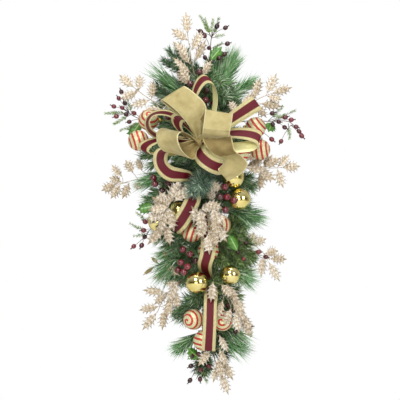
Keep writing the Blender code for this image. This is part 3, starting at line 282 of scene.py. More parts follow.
def smooth_path(points, count):
    """Points spaced evenly in parameter along a Catmull-Rom curve through the given ones."""
    ends = [points[0] * 2 - points[1]] + list(points) + [points[-1] * 2 - points[-2]]
    spans = len(points) - 1
    result = []
    for step in range(count):
        where = step / (count - 1) * spans
        index = min(int(where), spans - 1)
        t = where - index
        a, b, c, d = ends[index:index + 4]
        result.append(0.5 * ((2 * b) + (c - a) * t + (2 * a - 5 * b + 4 * c - d) * t * t
                             + (3 * b - 3 * c + d - a) * t * t * t))
    return result


def taper(start, end, count):
    return [start + (end - start) * i / (count - 1) for i in range(count)]


def round_stems(name, runs, roundness=1):
    """Round stems, each a run of (points, radii), as one mesh."""
    curve = bpy.data.curves.new(name, "CURVE")
    curve.dimensions = "3D"
    curve.bevel_depth = 1.0
    curve.bevel_resolution = roundness
    curve.use_fill_caps = True
    for points, radii in runs:
        spline = curve.splines.new("POLY")
        spline.points.add(len(points) - 1)
        for knot, point, radius in zip(spline.points, points, radii):
            knot.co = (*point, 1.0)
            knot.radius = radius
    select_only(in_scene(name, curve))
    bpy.ops.object.convert(target="MESH")
    made = bpy.context.object
    for polygon in made.data.polygons:
        polygon.use_smooth = True
    return made


def twisted_pair(points, radius, pitch):
    """Two wires wound round each other along the points."""
    runs = [([], []), ([], [])]
    walked = 0.0
    side = (points[1] - points[0]).orthogonal().normalized()
    for i, point in enumerate(points):
        ahead = points[min(i + 1, len(points) - 1)] - points[max(i - 1, 0)]
        ahead.normalize()
        side = (side - side.dot(ahead) * ahead).normalized()
        other = ahead.cross(side)
        walked += (point - points[max(i - 1, 0)]).length
        turn = 2 * math.pi * walked / pitch
        for run, sign in zip(runs, (1, -1)):
            run[0].append(point + sign * radius * (math.cos(turn) * side + math.sin(turn) * other))
            run[1].append(radius)
    return runs


ring = shape(bpy.ops.mesh.primitive_torus_add, major_segments=64, minor_segments=12,
             major_radius=HANGER_INNER * MM, minor_radius=HANGER_WIRE_RADIUS, rotation=(math.pi / 2, 0.0, 0.0),
             location=(0.0, -HANGER_BACK, -HANGER_INNER * MM))
bpy.ops.object.transform_apply()
bpy.ops.object.shade_smooth()
foot = Vector((0.0, -HANGER_BACK, (-2 * HANGER_INNER + 1.0) * MM))
backwards = Vector((0.0, SPINE_RADIUS + SEAT_GAP + 1.8 * MM, 0.0))
tail_line = smooth_path([foot] + [spine_centre(HANG_V + drop) + backwards for drop in (20.0, 24.0, 28.0)], 70)
hanger = round_stems("wire_hanger", twisted_pair(tail_line, 0.95 * MM, 9.0 * MM), 2)
select_only(hanger, ring)
bpy.ops.object.join()
# Galvanised steel wire: dull zinc, a little worn.
steel = clouded("galvanised_wire", {"Metallic": 1.0, "Roughness": 0.38}, 260.0, 3.0, (0.3, "#8F8F8B"),
                (0.7, "#B9B9B3"), rough=(0.28, 0.5))
hanger.data.materials.clear()
hanger.data.materials.append(steel)
stand_in(hanger, "hanger")

# The balls are shatterproof blown plastic, six in vacuum-metallised gold and eleven in cream glitter
# with a red glitter line wound from pole to pole. Each has a gold crimped cap with a ring, and hangs on
# a fine wire twisted to the spine. A row is (u, v, d, radius in mm, the way its pole points).
BALLS = {
    "ball_gold_1": (233, 177, 96, 27, (0, 0, 1)),
    "ball_gold_2": (239.5, 199, 88, 27, (0, 0, 1)),
    "ball_gold_3": (196.6, 282.5, 98, 27, (0, 0, 1)),
    "ball_gold_4": (230.5, 275, 84, 24, (0, 0, 1)),
    "ball_gold_5": (179, 210, 82, 24, (0, 0, 1)),
    "ball_gold_6": (158, 222, 80, 24, (0, 0, 1)),
    "ball_striped_01": (148.5, 120, 72, 25, (0.1, -0.65, 0.75)),
    "ball_striped_02": (138.5, 140.5, 82, 25, (-0.93, 0.37, 0.1)),
    "ball_striped_03": (255.5, 127.5, 84, 25, (0.7, -0.7, 0.15)),
    "ball_striped_04": (260, 149.5, 80, 25, (0.97, -0.2, 0.15)),
    "ball_striped_05": (239, 152.5, 108, 25, (0.3, 0.9, 0.2)),
    "ball_striped_06": (192, 232, 80, 25, (0.95, 0.25, 0.15)),
    "ball_striped_07": (220.5, 225, 84, 25, (-0.8, 0.1, 0.6)),
    "ball_striped_08": (208.5, 250.5, 78, 25, (0.2, 0.95, 0.2)),
    "ball_striped_09": (193.5, 319.5, 84, 25, (-0.6, 0.15, 0.78)),
    "ball_striped_10": (222.5, 321, 84, 25, (-0.1, 0, 1)),
    "ball_striped_11": (203.5, 341, 80, 25, (0.1, -1, 0.1)),
}
BALL_MODEL = 25.0 * MM
CAP_RADIUS, CAP_HEIGHT = 5.6 * MM, 6.0 * MM
SWIRL_TURNS = 6.0


def read(items, field, size, kind=float):
    """One field of all the items of a mesh, as a flat array."""
    values = np.empty(len(items) * size, dtype=kind)
    items.foreach_get(field, values)
    return values


def copies_of(name, source, places, tones):
    """One mesh with a copy of the source at each matrix, and each copy's tone as an attribute."""
    mesh, amount = source.data, len(places)
    count, corners, sides = len(mesh.vertices), len(mesh.loops), len(mesh.polygons)
    points = np.c_[read(mesh.vertices, "co", 3).reshape(-1, 3), np.ones(count)]
    table = np.array([[list(row) for row in place[:3]] for place in places])
    lots = np.arange(amount, dtype=np.int32)[:, None]
    made = bpy.data.meshes.new(name)
    made.vertices.add(amount * count)
    made.vertices.foreach_set("co", np.einsum("kij,nj->kni", table, points).ravel())
    made.loops.add(amount * corners)
    made.polygons.add(amount * sides)
    for copied, items, field, step in ((made.loops, mesh.loops, "vertex_index", count),
                                       (made.polygons, mesh.polygons, "loop_start", corners)):
        copied.foreach_set(field, (read(items, field, 1, np.int32)[None, :] + step * lots).ravel())
    for field, kind in (("material_index", np.int32), ("use_smooth", bool)):
        made.polygons.foreach_set(field, np.tile(read(mesh.polygons, field, 1, kind), amount))
    made.update(calc_edges=True)
    made.uv_layers.new(name="UVMap")
    made.uv_layers[0].uv.foreach_set("vector", np.tile(read(mesh.uv_layers[0].uv, "vector", 2), amount))
    tone = made.attributes.new("tone", "FLOAT", "POINT")
    tone.data.foreach_set("value", np.repeat(np.array(tones, dtype=np.float32), count))
    for material in mesh.materials:
        made.materials.append(material)
    return in_scene(name, made)


def joined(name, pieces):
    """The pieces as one object of that name."""
    select_only(*pieces)
    if len(pieces) > 1:
        bpy.ops.object.join()
    pieces[0].name = name
    return pieces[0]


def open_faces(thing, wanted):
    """Go into edit mode with just those faces selected whose normal is wanted."""
    bpy.ops.object.mode_set(mode="EDIT")
    bpy.ops.mesh.select_mode(type="FACE")
    bpy.ops.mesh.select_all(action="DESELECT")
    bpy.ops.object.mode_set(mode="OBJECT")
    for polygon in thing.data.polygons:
        polygon.select = wanted(polygon.normal)
    bpy.ops.object.mode_set(mode="EDIT")


def uv_of(tree):
    """The piece's own u and v."""
    flat = add(tree, "SeparateXYZ", {0: add(tree, "TexCoord").outputs["UV"]})
    return flat.outputs["X"], flat.outputs["Y"]


def flakes(tree, scale):
    """Glitter flakes: the distance from each one's middle, and its own random numbers."""
    cell = add(tree, "TexVoronoi", {"Vector": add(tree, "TexCoord").outputs["Object"], "Scale": scale})
    return cell.outputs["Distance"], add(tree, "SeparateColor", {0: cell.outputs["Color"]}).outputs


def calc(tree, operation, *values):
    return add(tree, "Math", dict(enumerate(values)), operation=operation)


globe = shape(bpy.ops.mesh.primitive_uv_sphere_add, segments=48, ring_count=24, radius=BALL_MODEL)
bpy.ops.object.shade_smooth()
cap = shape(bpy.ops.mesh.primitive_cylinder_add, vertices=24, radius=CAP_RADIUS, depth=CAP_HEIGHT,
            end_fill_type="NGON", location=(0.0, 0.0, BALL_MODEL + 2.6 * MM))
open_faces(cap, lambda normal: normal.z > 0.9)
for thickness, rise in ((1.4, 0.9), (2.2, -0.5)):
    bpy.ops.mesh.inset(thickness=thickness * MM)
    bpy.ops.transform.translate(value=(0.0, 0.0, rise * MM))
bpy.ops.object.mode_set(mode="OBJECT")
bpy.ops.object.transform_apply()
for vertex in cap.data.vertices:
    if vertex.co.z < BALL_MODEL + 1.0 * MM and vertex.index % 2:
        vertex.co.x *= 1.12
        vertex.co.y *= 1.12
bpy.ops.object.shade_smooth_by_angle(angle=math.radians(35))
loop = shape(bpy.ops.mesh.primitive_torus_add, major_segments=20, minor_segments=6, major_radius=3.0 * MM,
             minor_radius=0.45 * MM, rotation=(math.pi / 2, 0.0, 0.0),
             location=(0.0, 0.0, BALL_MODEL + 8.2 * MM))
bpy.ops.object.transform_apply()
bpy.ops.object.shade_smooth()

# Vacuum-metallised plastic under clear lacquer: a sharp mirror of warm pale gold.
mirror = clouded("metallised_gold_plastic", {
    "Metallic": 1.0, "Roughness": 0.1, "Coat Weight": 0.35, "Coat Roughness": 0.05}, 60.0, 4.0,
    (0.3, "#E9D577"), (0.7, "#F6E9A6"), rough=(0.05, 0.16))

# Cream and red glitter on lacquer: flakes about 0.5 mm across, drawn at 1.1 mm so that they still show.
glitter, tree, shader = surface("cream_and_red_glitter", {"Metallic": 0.35, "Roughness": 0.42})
across, along = uv_of(tree)
distance, sparkle = flakes(tree, 900.0)
ragged = add(tree, "MapRange", {"Value": distance, "To Min": -0.03, "To Max": 0.03})
wound = calc(tree, "ADD", calc(tree, "MULTIPLY", along, SWIRL_TURNS), across)
line = ramp(tree, calc(tree, "FRACT", calc(tree, "ADD", wound, ragged)), (0.0, "#000000"), (0.27, "#000000"),
            (0.31, "#FFFFFF"), (0.68, "#FFFFFF"), (0.72, "#000000"))
cream = ramp(tree, sparkle[0], (0.0, "#C6BF80"), (0.5, "#E4E0AC"), (1.0, "#F8F6DA"))
red = ramp(tree, sparkle[0], (0.0, "#A01F1F"), (0.6, "#CC3A34"), (1.0, "#EC6A5C"))
dress(tree, shader, blend(tree, line, cream, red), sparkle[1], 0.45, 0.0005)

# Gold-anodised aluminium cap, thin and crimped.
crimped = clouded("gold_anodised_cap", {"Metallic": 1.0, "Roughness": 0.3}, 420.0, 2.0, (0.3, "#A98A34"),
                  (0.7, "#D0B458"))
for fitting in (cap, loop):
    fitting.data.materials.append(crimped)
globe.data.materials.append(mirror)
striped_globe = in_scene("striped_globe", globe.data.copy())
striped_globe.data.materials[0] = glitter
select_only(cap, loop)
bpy.ops.object.join()

for name, (u, v, d, radius, pole) in BALLS.items():
    centre = at(u, v, d)
    seat, _ = spine_seat(v, centre - spine_centre(v), 1.0 * MM)
    axis = (seat - centre).normalized()
    size = radius * MM / BALL_MODEL
    model = striped_globe if "striped" in name else globe
    parts = []
    for source, way in ((model, aim(*pole)), (cap, axis)):
        turned = way.to_track_quat("Z", "Y").to_matrix().to_4x4()
        spot = Matrix.Translation(centre) @ turned @ Matrix.Scale(size, 4)
        parts.append(copies_of(name + "_ornament", source, [spot], [0.5]))
    start = centre + axis * (radius + 11.0) * MM
    line = smooth_path([start, start.lerp(seat, 0.5) + Vector((0.0, 0.0, -1.0 * MM)), seat], 40)
    wire = round_stems("ball_wire", twisted_pair(line, 0.45 * MM, 4.0 * MM), 0)
    wire.data.materials.append(crimped)
    ball = joined(name + "_ornament", parts + [wire])
    stand_in(ball, name)
for model in (globe, striped_globe, cap):
    bpy.data.objects.remove(model)

# The burgundy ribbon is wired satin 38 mm wide with ribbed cream-gold bands down both edges and a
# smooth olive-gold back. It makes the seven loops and the tail behind the gold bow.
GOLD_WIDTH = 63.5 * MM
BURGUNDY_WIDTH = 38.0 * MM
GOLD_KNOT = (199.0, 142.5, 182.0)
BURGUNDY_KNOT = (198.5, 142.5, 140.0)
KNOT_DEPTH, KNOT_RADIUS = 30.0, 15.0
RIBBON_COLUMNS = 14
LOOP_ROWS, BEND_ROWS, GOLD_ROWS, TAIL_ROWS = 90, 110, 130, 150
FULL_TURN = 6.28
CENTRE_SEED, GOLD_SEED = 31, 40
CLOTH_THICKNESS = 0.5 * MM


def ribbon_rows(points, width, count):
    """Rows through given points (u, v, d, across u, across v, across d, share of the width)."""
    centres = smooth_path([at(*point[:3]) for point in points], count)
    halves = smooth_path([aim(*point[3:6]) * point[6] * width / 2 for point in points], count)
    return [(centre, -half) for centre, half in zip(centres, halves)]


def loop_rows(knot, tip, bulge, across, fullness, width, count, shift=(0.0, 0.0, 0.0), waist=0.22):
    """One bow loop: out from the knot to its tip and back, pinched at the knot, its face outwards."""
    centre = at(*knot)
    reach = at(*tip) - centre
    lift = aim(*bulge) * fullness * MM
    side = aim(*across)
    if side.cross(reach).dot(lift) < 0:
        side = -side
    slide = at(knot[0] + shift[0], knot[1] + shift[1], knot[2] + shift[2]) - centre
    rows = []
    for i in range(count):
        angle = math.pi * (0.13 + 1.74 * i / (count - 1))
        out = (1 - math.cos(angle)) / 2
        open_share = math.sin(angle / 2)
        point = centre + reach * out + lift * math.sin(angle) * open_share ** 0.5 + slide * open_share
        rows.append((point, side * width / 2 * (waist + (1 - waist) * open_share)))
    return rows


def thicken(sheet, thickness, back=0):
    """Give a sheet its thickness, half to each side, and its back the material that many places on."""
    wall = sheet.modifiers.new("wall", "SOLIDIFY")
    wall.thickness = thickness
    wall.offset = 0.0
    wall.material_offset = back
    bpy.ops.object.modifier_apply(modifier="wall")


def ribbon_strip(name, rows, width, face, back, seed):
    """A wired ribbon through its rows, gathered where it narrows, its face and its back in two finishes."""
    draw = random.Random(seed)
    phases = [draw.uniform(0, FULL_TURN) for _ in range(4)]
    points, flat = [], []
    walked = 0.0
    for i, (centre, half) in enumerate(rows):
        before, after = rows[max(i - 1, 0)][0], rows[min(i + 1, len(rows) - 1)][0]
        walked += (centre - before).length
        lift = half.cross(after - before).normalized()
        narrow = max(0.0, 1 - 2 * half.length / width)
        for j in range(RIBBON_COLUMNS + 1):
            across = 2 * j / RIBBON_COLUMNS - 1
            pleat = width * 0.11 * narrow ** 1.7 * math.sin(across * 2.5 * math.pi + phases[0])
            wave = (0.9 * across * math.sin(walked / 0.021 + phases[1])
                    + 0.5 * math.sin(walked / 0.034 + 2.2 * across + phases[2])) * MM
            cup = 1.3 * MM * across * across * math.sin(walked / 0.05 + phases[3])
            points.append(centre + half * across + lift * (pleat + wave + cup))
            flat.append((j / RIBBON_COLUMNS, walked / width))
    faces = []
    wide = RIBBON_COLUMNS + 1
    for i in range(len(rows) - 1):
        for j in range(RIBBON_COLUMNS):
            near = i * wide + j
            faces.append((near, near + 1, near + wide + 1, near + wide))
    mesh = bpy.data.meshes.new(name)
    mesh.from_pydata(points, [], faces)
    mesh.uv_layers.new(name="UVMap")
    for corner, place in zip(mesh.loops, mesh.uv_layers[0].uv):
        place.vector = flat[corner.vertex_index]
    mesh.materials.append(face)
    mesh.materials.append(back)
    strip = in_scene(name, mesh)
    select_only(strip)
    bpy.ops.object.shade_smooth()
    thicken(strip, CLOTH_THICKNESS, 1)
    return strip, walked


def sheen_streaks(tree, squeeze, detail):
    """Noise stretched along a ribbon, which paints streaks of shade and sheen that run along it."""
    drawn = add(tree, "Mapping", {"Vector": add(tree, "TexCoord").outputs["UV"], "Scale": (*squeeze, 1.0)})
    return add(tree, "TexNoise", {"Vector": drawn, "Scale": 3.0, "Detail": detail})


# Ribbed cream-gold bands and satin burgundy: ribs 0.5 mm apart are drawn at 1.5 mm so that they show,
# which is a sine of so many radians to one width of the ribbon.
RIB_RADIANS = 160.0
satin, tree, shader = surface("banded_burgundy_satin", {"Roughness": 0.5, "Specular IOR Level": 0.35})
across, along = uv_of(tree)
bands = ramp(tree, across, (0.0, "#F6F2C4"), (0.03, "#DED698"), (0.20, "#E9E1A6"), (0.232, "#B4A460"),
             (0.25, "#700E22"), (0.75, "#700E22"), (0.768, "#B4A460"), (0.80, "#E9E1A6"), (0.97, "#DED698"),
             (1.0, "#F6F2C4"))
# Painted shade: streaks along the ribbon darken its colour for its folds and the dips in its satin sheen.
shade = ramp(tree, sheen_streaks(tree, (26.0, 1.4), 4.0), (0.25, "#74646A"), (0.5, "#D8CED0"), (0.75, "#FFFFFF"))
dress(tree, shader, blend(tree, 0.75, bands, shade, blend_type="MULTIPLY"),
      calc(tree, "SINE", calc(tree, "MULTIPLY", along, RIB_RADIANS)), 0.35, 0.0003)

# The ribbon's smooth back: olive-gold satin, with long soft highlights painted into its colour along the
# threads.
satin_back, tree, shader = surface("olive_gold_satin_back", {"Metallic": 0.2, "Roughness": 0.36})
sheen_streak = sheen_streaks(tree, (18.0, 1.0), 3.0)
# Painted highlight: the streaks run the colour up to near white where the satin would catch the light.
dress(tree, shader, ramp(tree, sheen_streak, (0.25, "#DED684"), (0.55, "#F4EEB0"), (0.8, "#FFFCDC")), sheen_streak,
      0.2, 0.0004)


def gathered_knot(name, place, radius, depth, face):
    """The ribbon's gathered middle: a band wrapped round the pinched loops, with folds along its way."""
    knot = shape(bpy.ops.mesh.primitive_cylinder_add, vertices=40, radius=radius * MM, depth=depth * MM,
                 end_fill_type="NGON", rotation=(math.pi / 2, 0.0, 0.0), location=at(*place))
    knot.name = name
    bpy.ops.object.transform_apply()
    open_faces(knot, lambda normal: abs(normal.y) > 0.9)
    for thickness in (0.14, 0.2, 0.24):
        bpy.ops.mesh.inset(thickness=radius * MM * thickness)
        bpy.ops.transform.resize(value=(1.0, 1.07, 1.0))
    bpy.ops.mesh.select_all(action="SELECT")
    bpy.ops.object.mode_set(mode="OBJECT")
    centre = at(*place)
    for vertex in knot.data.vertices:
        out = vertex.co - centre
        turn = math.atan2(out.z, out.x)
        size = 0.94 + 0.05 * math.cos(9 * turn) + 0.03 * math.sin(5 * turn + 1.0)
        vertex.co = centre + Vector((out.x * size, out.y, out.z * size))
    bpy.ops.object.shade_smooth_by_angle(angle=math.radians(50))
    knot.data.materials.append(face)
    return knot


LEFT_TAIL = [
    (193, 144, 143, 0.3, 1, 0, 0.3),
    (177, 147, 144, 0.4, 0.5, 0.8, 0.55),
    (163.5, 151.5, 155, 0.95, 0.2, 0.2, 0.88),
    (160.5, 160, 153, 1, -0.15, 0.1, 0.9),
    (163.5, 168, 153, 0.85, -0.55, 0.2, 0.95),
    (171, 174, 150, 0.4, -0.9, 0.35, 1),
    (182, 175.5, 138, 0, -1, 0.5, 0.9),
    (190, 177, 118, 0.2, -1, 0.6, 0.75),
    (193.5, 186, 104, 0.9, -0.5, 0.4, 0.75),
    (193.5, 197, 114, 0.95, 0.25, 0.1, 0.95),
    (189, 208, 124, 0.9, 0.5, 0, 1),
    (182, 220, 123, 0.85, 0.6, 0, 1),
    (177.2, 226.5, 112, 0.85, 0.6, 0.1, 0.92),
    (174.5, 230, 92, 0.85, 0.5, 0.3, 0.75),
    (176, 231.5, 66, 0.7, 0.6, 0.6, 0.5),
    (186, 232.5, 45, 0.3, 1, 0.3, 0.32),
    (197, 233, 40, 0, 1, 0.2, 0.22),
]
BURGUNDY_LOOPS = [
    ((206, 78.5, 124), (1, 0.1, 0), (0.35, 0.55, 0.76), 31, (1, 0, -8)),
    ((256.8, 103, 146), (-0.2, 0, 1), (0.6, 0.8, 0), 12, (0, 0, 0)),
    ((259.5, 143.5, 148), (0, -1, 0.1), (-0.3, 0.78, 0.55), 20, (0, -3, 2)),
    ((177.8, 119.1, 158), (0.74, -0.67, 0), (0.68, 0.47, 0.56), 18, (0, 0, 0)),
    ((143.8, 147, 140), (0, -1, 0), (0.62, 0.3, 0.7), 22, (0, 2, 0)),
]
LEFT_UPPER_LOOP = [
    (197.5, 140, 141, 0.3, 0.5, 0.8, 0.25),
    (185, 125.5, 138, 0.1, 0.4, 0.9, 0.75),
    (173, 115.8, 137, 0.05, 0.4, 0.9, 1),
    (161, 113.2, 137, 0.1, 0.4, 0.9, 1),
    (151.5, 116, 137, 0.3, 0.25, 0.9, 1),
    (147.6, 123, 137, 0.38, 0.05, 0.9, 1),
    (150, 131, 137, 0.36, -0.15, 0.9, 1),
    (158, 136.5, 137, 0.25, -0.3, 0.9, 0.95),
    (172, 140, 137, 0.1, -0.4, 0.85, 0.8),
    (187, 142, 138, 0.1, -0.5, 0.8, 0.5),
    (197, 142.5, 139, 0.1, -0.6, 0.7, 0.25),
]
FRONT_LOWER_LOOP = [
    (199, 144.5, 148, 0.75, -0.65, 0, 0.3),
    (198.4, 147.8, 153, 0.72, -0.69, 0, 0.62),
    (198.8, 151.8, 164, 0.64, -0.76, 0, 0.9),
    (201.8, 157.3, 171, 0.52, -0.85, 0, 1),
    (208.4, 162.9, 173, 0.36, -0.93, 0, 1),
    (215.3, 166.4, 169, 0.32, -0.95, 0, 1),
    (221.5, 167.8, 160, 0.36, -0.92, 0, 1),
    (224.8, 167, 149, 0.4, -0.9, 0, 1),
    (221, 162.5, 142, 0.45, -0.85, 0, 0.9),
    (212, 154.5, 139, 0.5, -0.8, 0, 0.7),
    (204, 147.5, 138, 0.55, -0.75, 0, 0.45),
    (199.8, 144, 138, 0.6, -0.7, 0, 0.28),
]
knot = gathered_knot("burgundy_knot", BURGUNDY_KNOT, KNOT_RADIUS, KNOT_DEPTH, satin)
strips = [knot]
runs = [loop_rows(BURGUNDY_KNOT, tip, bulge, across, fullness, BURGUNDY_WIDTH, LOOP_ROWS, shift)
        for tip, bulge, across, fullness, shift in BURGUNDY_LOOPS]
runs += [ribbon_rows(points, BURGUNDY_WIDTH, BEND_ROWS) for points in (LEFT_UPPER_LOOP, FRONT_LOWER_LOOP)]
runs.append(ribbon_rows(LEFT_TAIL, BURGUNDY_WIDTH, TAIL_ROWS))
for number, rows in enumerate(runs):
    strip, length = ribbon_strip("loop", rows, BURGUNDY_WIDTH, satin, satin_back, number)
    strips.append(strip)
burgundy_bow = joined("burgundy_ribbon_bow", [strips[-1]] + strips[:-1])
stand_in(burgundy_bow, "bow_burgundy")

# The centre tail is a second length of the burgundy ribbon, tucked in under the middle cluster and
# woven down over the balls to its cut end.
CENTRE_TAIL = [
    (205.5, 205, 37, 1, 0, 0, 0.22),
    (205.5, 212, 62, 1, 0, 0, 0.35),
    (206, 222, 98, 1, 0, 0, 0.5),
    (207.5, 236, 116, 1, 0.1, 0, 0.9),
    (208.5, 246, 124, 1, 0.12, 0, 0.94),
    (207, 256, 125, 1, 0.18, 0, 0.93),
    (204.8, 264, 112, 1, 0.22, 0, 0.92),
    (205, 270, 84, 1, 0.2, 0, 0.9),
    (207, 276, 58, 1, 0.1, 0, 0.85),
    (209.5, 284, 50, 1, 0, 0, 0.85),
    (211, 290.5, 72, 1, 0, 0, 0.9),
    (210.8, 296, 106, 1, 0, 0, 0.85),
    (210.3, 304, 124, 1, 0, 0, 0.84),
    (209.8, 322, 128, 1, 0, 0, 0.84),
    (209, 338, 124, 1, 0, 0, 0.85),
    (208.3, 350.5, 114, 1, 0, 0, 0.87),
]
strip, length = ribbon_strip("centre_ribbon_tail", ribbon_rows(CENTRE_TAIL, BURGUNDY_WIDTH, TAIL_ROWS),
                             BURGUNDY_WIDTH, satin, satin_back, CENTRE_SEED)
stand_in(strip, "ribbon_centre")

# The gold ribbon is 63.5 mm wide wired mesh, stiff enough to keep flat faces and soft folds. It makes
# the upper loop, the barrel loop, the square loop in front and the short tail on the right.
GOLD_TAIL = [
    (200.5, 141.5, 184, 0.6, -0.8, 0, 0.28),
    (208, 138, 190, 0.9, -0.3, 0, 0.75),
    (215.5, 136.5, 196, 1, -0.05, 0, 1.05),
    (217.5, 141, 199, 1, -0.1, 0, 1.08),
    (220, 146.3, 200, 1, -0.13, 0.1, 1),
    (223, 150.8, 199, 0.98, -0.17, 0.5, 0.92),
    (227, 154.2, 197, 0.97, -0.22, 0.85, 0.88),
    (233, 157.8, 195, 0.98, -0.15, 0.75, 0.85),
    (235.3, 163.8, 194, 1, 0.03, 0.3, 0.95),
    (231.5, 169.5, 195, 0.98, 0.15, -0.1, 0.92),
    (227, 173, 196, 0.88, 0.45, -0.4, 0.8),
    (222.5, 175.8, 197, 0.65, 0.75, -0.6, 0.62),
]
GOLD_UPPER_LOOP = [
    (199.5, 142, 181, 0.95, -0.3, 0, 0.28),
    (198.5, 131, 180, 0.92, -0.38, 0, 0.4),
    (195.5, 119.5, 182, 0.88, -0.48, 0, 0.66),
    (188.5, 110, 184, 0.87, -0.5, 0, 0.86),
    (180, 102.5, 187, 0.87, -0.5, 0, 0.97),
    (174.3, 96.8, 189, 0.86, -0.51, 0, 1),
    (172.3, 94.3, 193, 0.86, -0.51, 0, 1),
    (173.3, 94, 198, 0.86, -0.51, 0, 1),
    (177.5, 96.6, 203, 0.85, -0.52, 0, 1),
    (185, 102.6, 206, 0.85, -0.52, 0, 1),
    (192.7, 110.2, 206, 0.86, -0.5, 0, 1),
    (196.9, 118, 203, 0.88, -0.47, 0, 0.88),
    (198.7, 127.5, 198, 0.92, -0.38, 0, 0.62),
    (199.4, 136, 192, 1, -0.1, 0, 0.38),
    (199.5, 142, 187, 1, 0, 0, 0.26),
]
GOLD_BARREL_LOOP = [
    (200, 142.5, 178, 0.5, 0.8, 0.2, 0.25),
    (192, 139.5, 186, 0.7, 0.4, 0.5, 0.62),
    (182, 134.5, 194, 0.75, 0.25, 0.6, 0.95),
    (173, 131.2, 206, 0.72, 0.2, 0.65, 1),
    (168.3, 135, 219, 0.78, 0.18, 0.58, 1),
    (168.3, 141.5, 226, 0.82, 0.2, 0.5, 1),
    (171.3, 149, 224, 0.88, 0.24, 0.35, 1),
    (178.5, 155.6, 213, 0.95, 0.28, 0.1, 1),
    (184, 154.5, 202, 0.92, 0.35, 0.1, 0.92),
    (188, 149.5, 193, 0.85, 0.5, 0.1, 0.75),
    (193.5, 146, 186, 0.7, 0.7, 0.1, 0.45),
    (200, 142.5, 180, 0.6, 0.8, 0.1, 0.25),
]
GOLD_FRONT_LOOP = [
    (200, 140, 184, 1, 0.1, 0, 0.25),
    (207, 128, 196, 1, 0.15, 0, 0.8),
    (216, 116, 210, 1, 0.18, 0, 1),
    (218.4, 113, 216, 1, 0.2, 0, 1.05),
    (218.6, 114, 222, 1, 0.2, 0, 1.05),
    (217.6, 122, 227, 1, 0.16, 0, 1.04),
    (216.4, 130.3, 229, 1, 0.12, 0, 1.03),
    (216.1, 131.6, 228.6, 1, 0.12, 0, 1.02),
    (215.7, 135.2, 224, 1, 0.11, 0, 1.02),
    (215, 137, 217, 1, 0.12, 0, 1),
    (211, 137.5, 207, 1, 0.12, 0, 0.9),
    (205.5, 139.5, 196, 1, 0.12, 0, 0.62),
    (200.5, 142, 187, 1, 0.1, 0, 0.25),
]
GOLD_KNOT_RADIUS = 9.0
WEAVE_RADIANS = 305.0
# Metallic gold mesh, paler on its face than on its back, with a wired rim down both edges: threads
# 0.6 mm apart, drawn at 1.3 mm so that the weave shows close to.
gold_finishes = []
for name, settings, dark, mid, pale, rim in (
        ("gold_metallic_mesh", {"Metallic": 0.3, "Roughness": 0.44, "Sheen Weight": 0.2,
                                "Sheen Roughness": 0.45}, "#A3935C", "#B5A670", "#C2B482", "#DDD4A2"),
        ("gold_mesh_back", {"Metallic": 0.3, "Roughness": 0.5}, "#7E6A3C", "#94804C", "#A8945E", "#CDBD84")):
    finish, tree, shader = surface(name, settings)
    soft = add(tree, "TexNoise", {"Vector": add(tree, "TexCoord").outputs["UV"], "Scale": 2.6, "Detail": 5.0,
                                  "Roughness": 0.6})
    tone = ramp(tree, soft, (0.3, dark), (0.52, mid), (0.72, pale))
    edges = ramp(tree, uv_of(tree)[0], (0.0, "#FFFFFF"), (0.03, "#FFFFFF"), (0.05, "#000000"),
                 (0.95, "#000000"), (0.97, "#FFFFFF"), (1.0, "#FFFFFF"))
    threads = [calc(tree, "SINE", calc(tree, "MULTIPLY", way, WEAVE_RADIANS)) for way in uv_of(tree)]
    dress(tree, shader, blend(tree, edges, tone, rim), calc(tree, "MULTIPLY", *threads), 0.4, 0.0003)
    gold_finishes.append(finish)
mesh_cloth, mesh_back = gold_finishes

back_face = BURGUNDY_KNOT[2] + KNOT_DEPTH / 2 + SEAT_GAP / MM
front_face = GOLD_KNOT[2] + GOLD_KNOT_RADIUS
knot = gathered_knot("gold_knot", (GOLD_KNOT[0], GOLD_KNOT[1], (back_face + front_face) / 2),
                     GOLD_KNOT_RADIUS, front_face - back_face, mesh_back)
upper, barrel, square, gold_tail = (
    ribbon_rows(points, GOLD_WIDTH, GOLD_ROWS)
    for points in (GOLD_UPPER_LOOP, GOLD_BARREL_LOOP, GOLD_FRONT_LOOP, GOLD_TAIL))
# The tail shows its back as far as the fold near the ball, and its face from there on.
FOLD_ROW = 76
under_tail = [(centre, -half) for centre, half in gold_tail[:FOLD_ROW]]
strips = []
for number, rows in enumerate((upper, barrel, square, under_tail, gold_tail[FOLD_ROW - 3:])):
    strip, length = ribbon_strip("gold_strip", rows, GOLD_WIDTH, mesh_cloth, mesh_back, GOLD_SEED + number)
    strips.append(strip)
gold_bow = joined("gold_ribbon_bow", strips + [knot])
stand_in(gold_bow, "bow_gold")

# The bow wire is a green twist that holds the knots back to the spine.
knot_back = at(BURGUNDY_KNOT[0], BURGUNDY_KNOT[1], BURGUNDY_KNOT[2] - KNOT_DEPTH / 2 - 0.5)
seat, _ = spine_seat(BURGUNDY_KNOT[1], Vector((0.0, -1.0, 0.0)), 1.0 * MM)
bow_wire = round_stems("twisted_bow_wire", twisted_pair(
    smooth_path([knot_back, knot_back.lerp(seat, 0.5), seat], 70), 1.0 * MM, 7.0 * MM), 2)
# Green-enamelled florist's wire.
bow_wire.data.materials.append(clouded("green_enamelled_wire", {
    "Roughness": 0.4, "Coat Weight": 0.3, "Coat Roughness": 0.2}, 240.0, 3.0, (0.35, "#1C2E1A"),
    (0.7, "#3A5230")))
stand_in(bow_wire, "bow_wire")

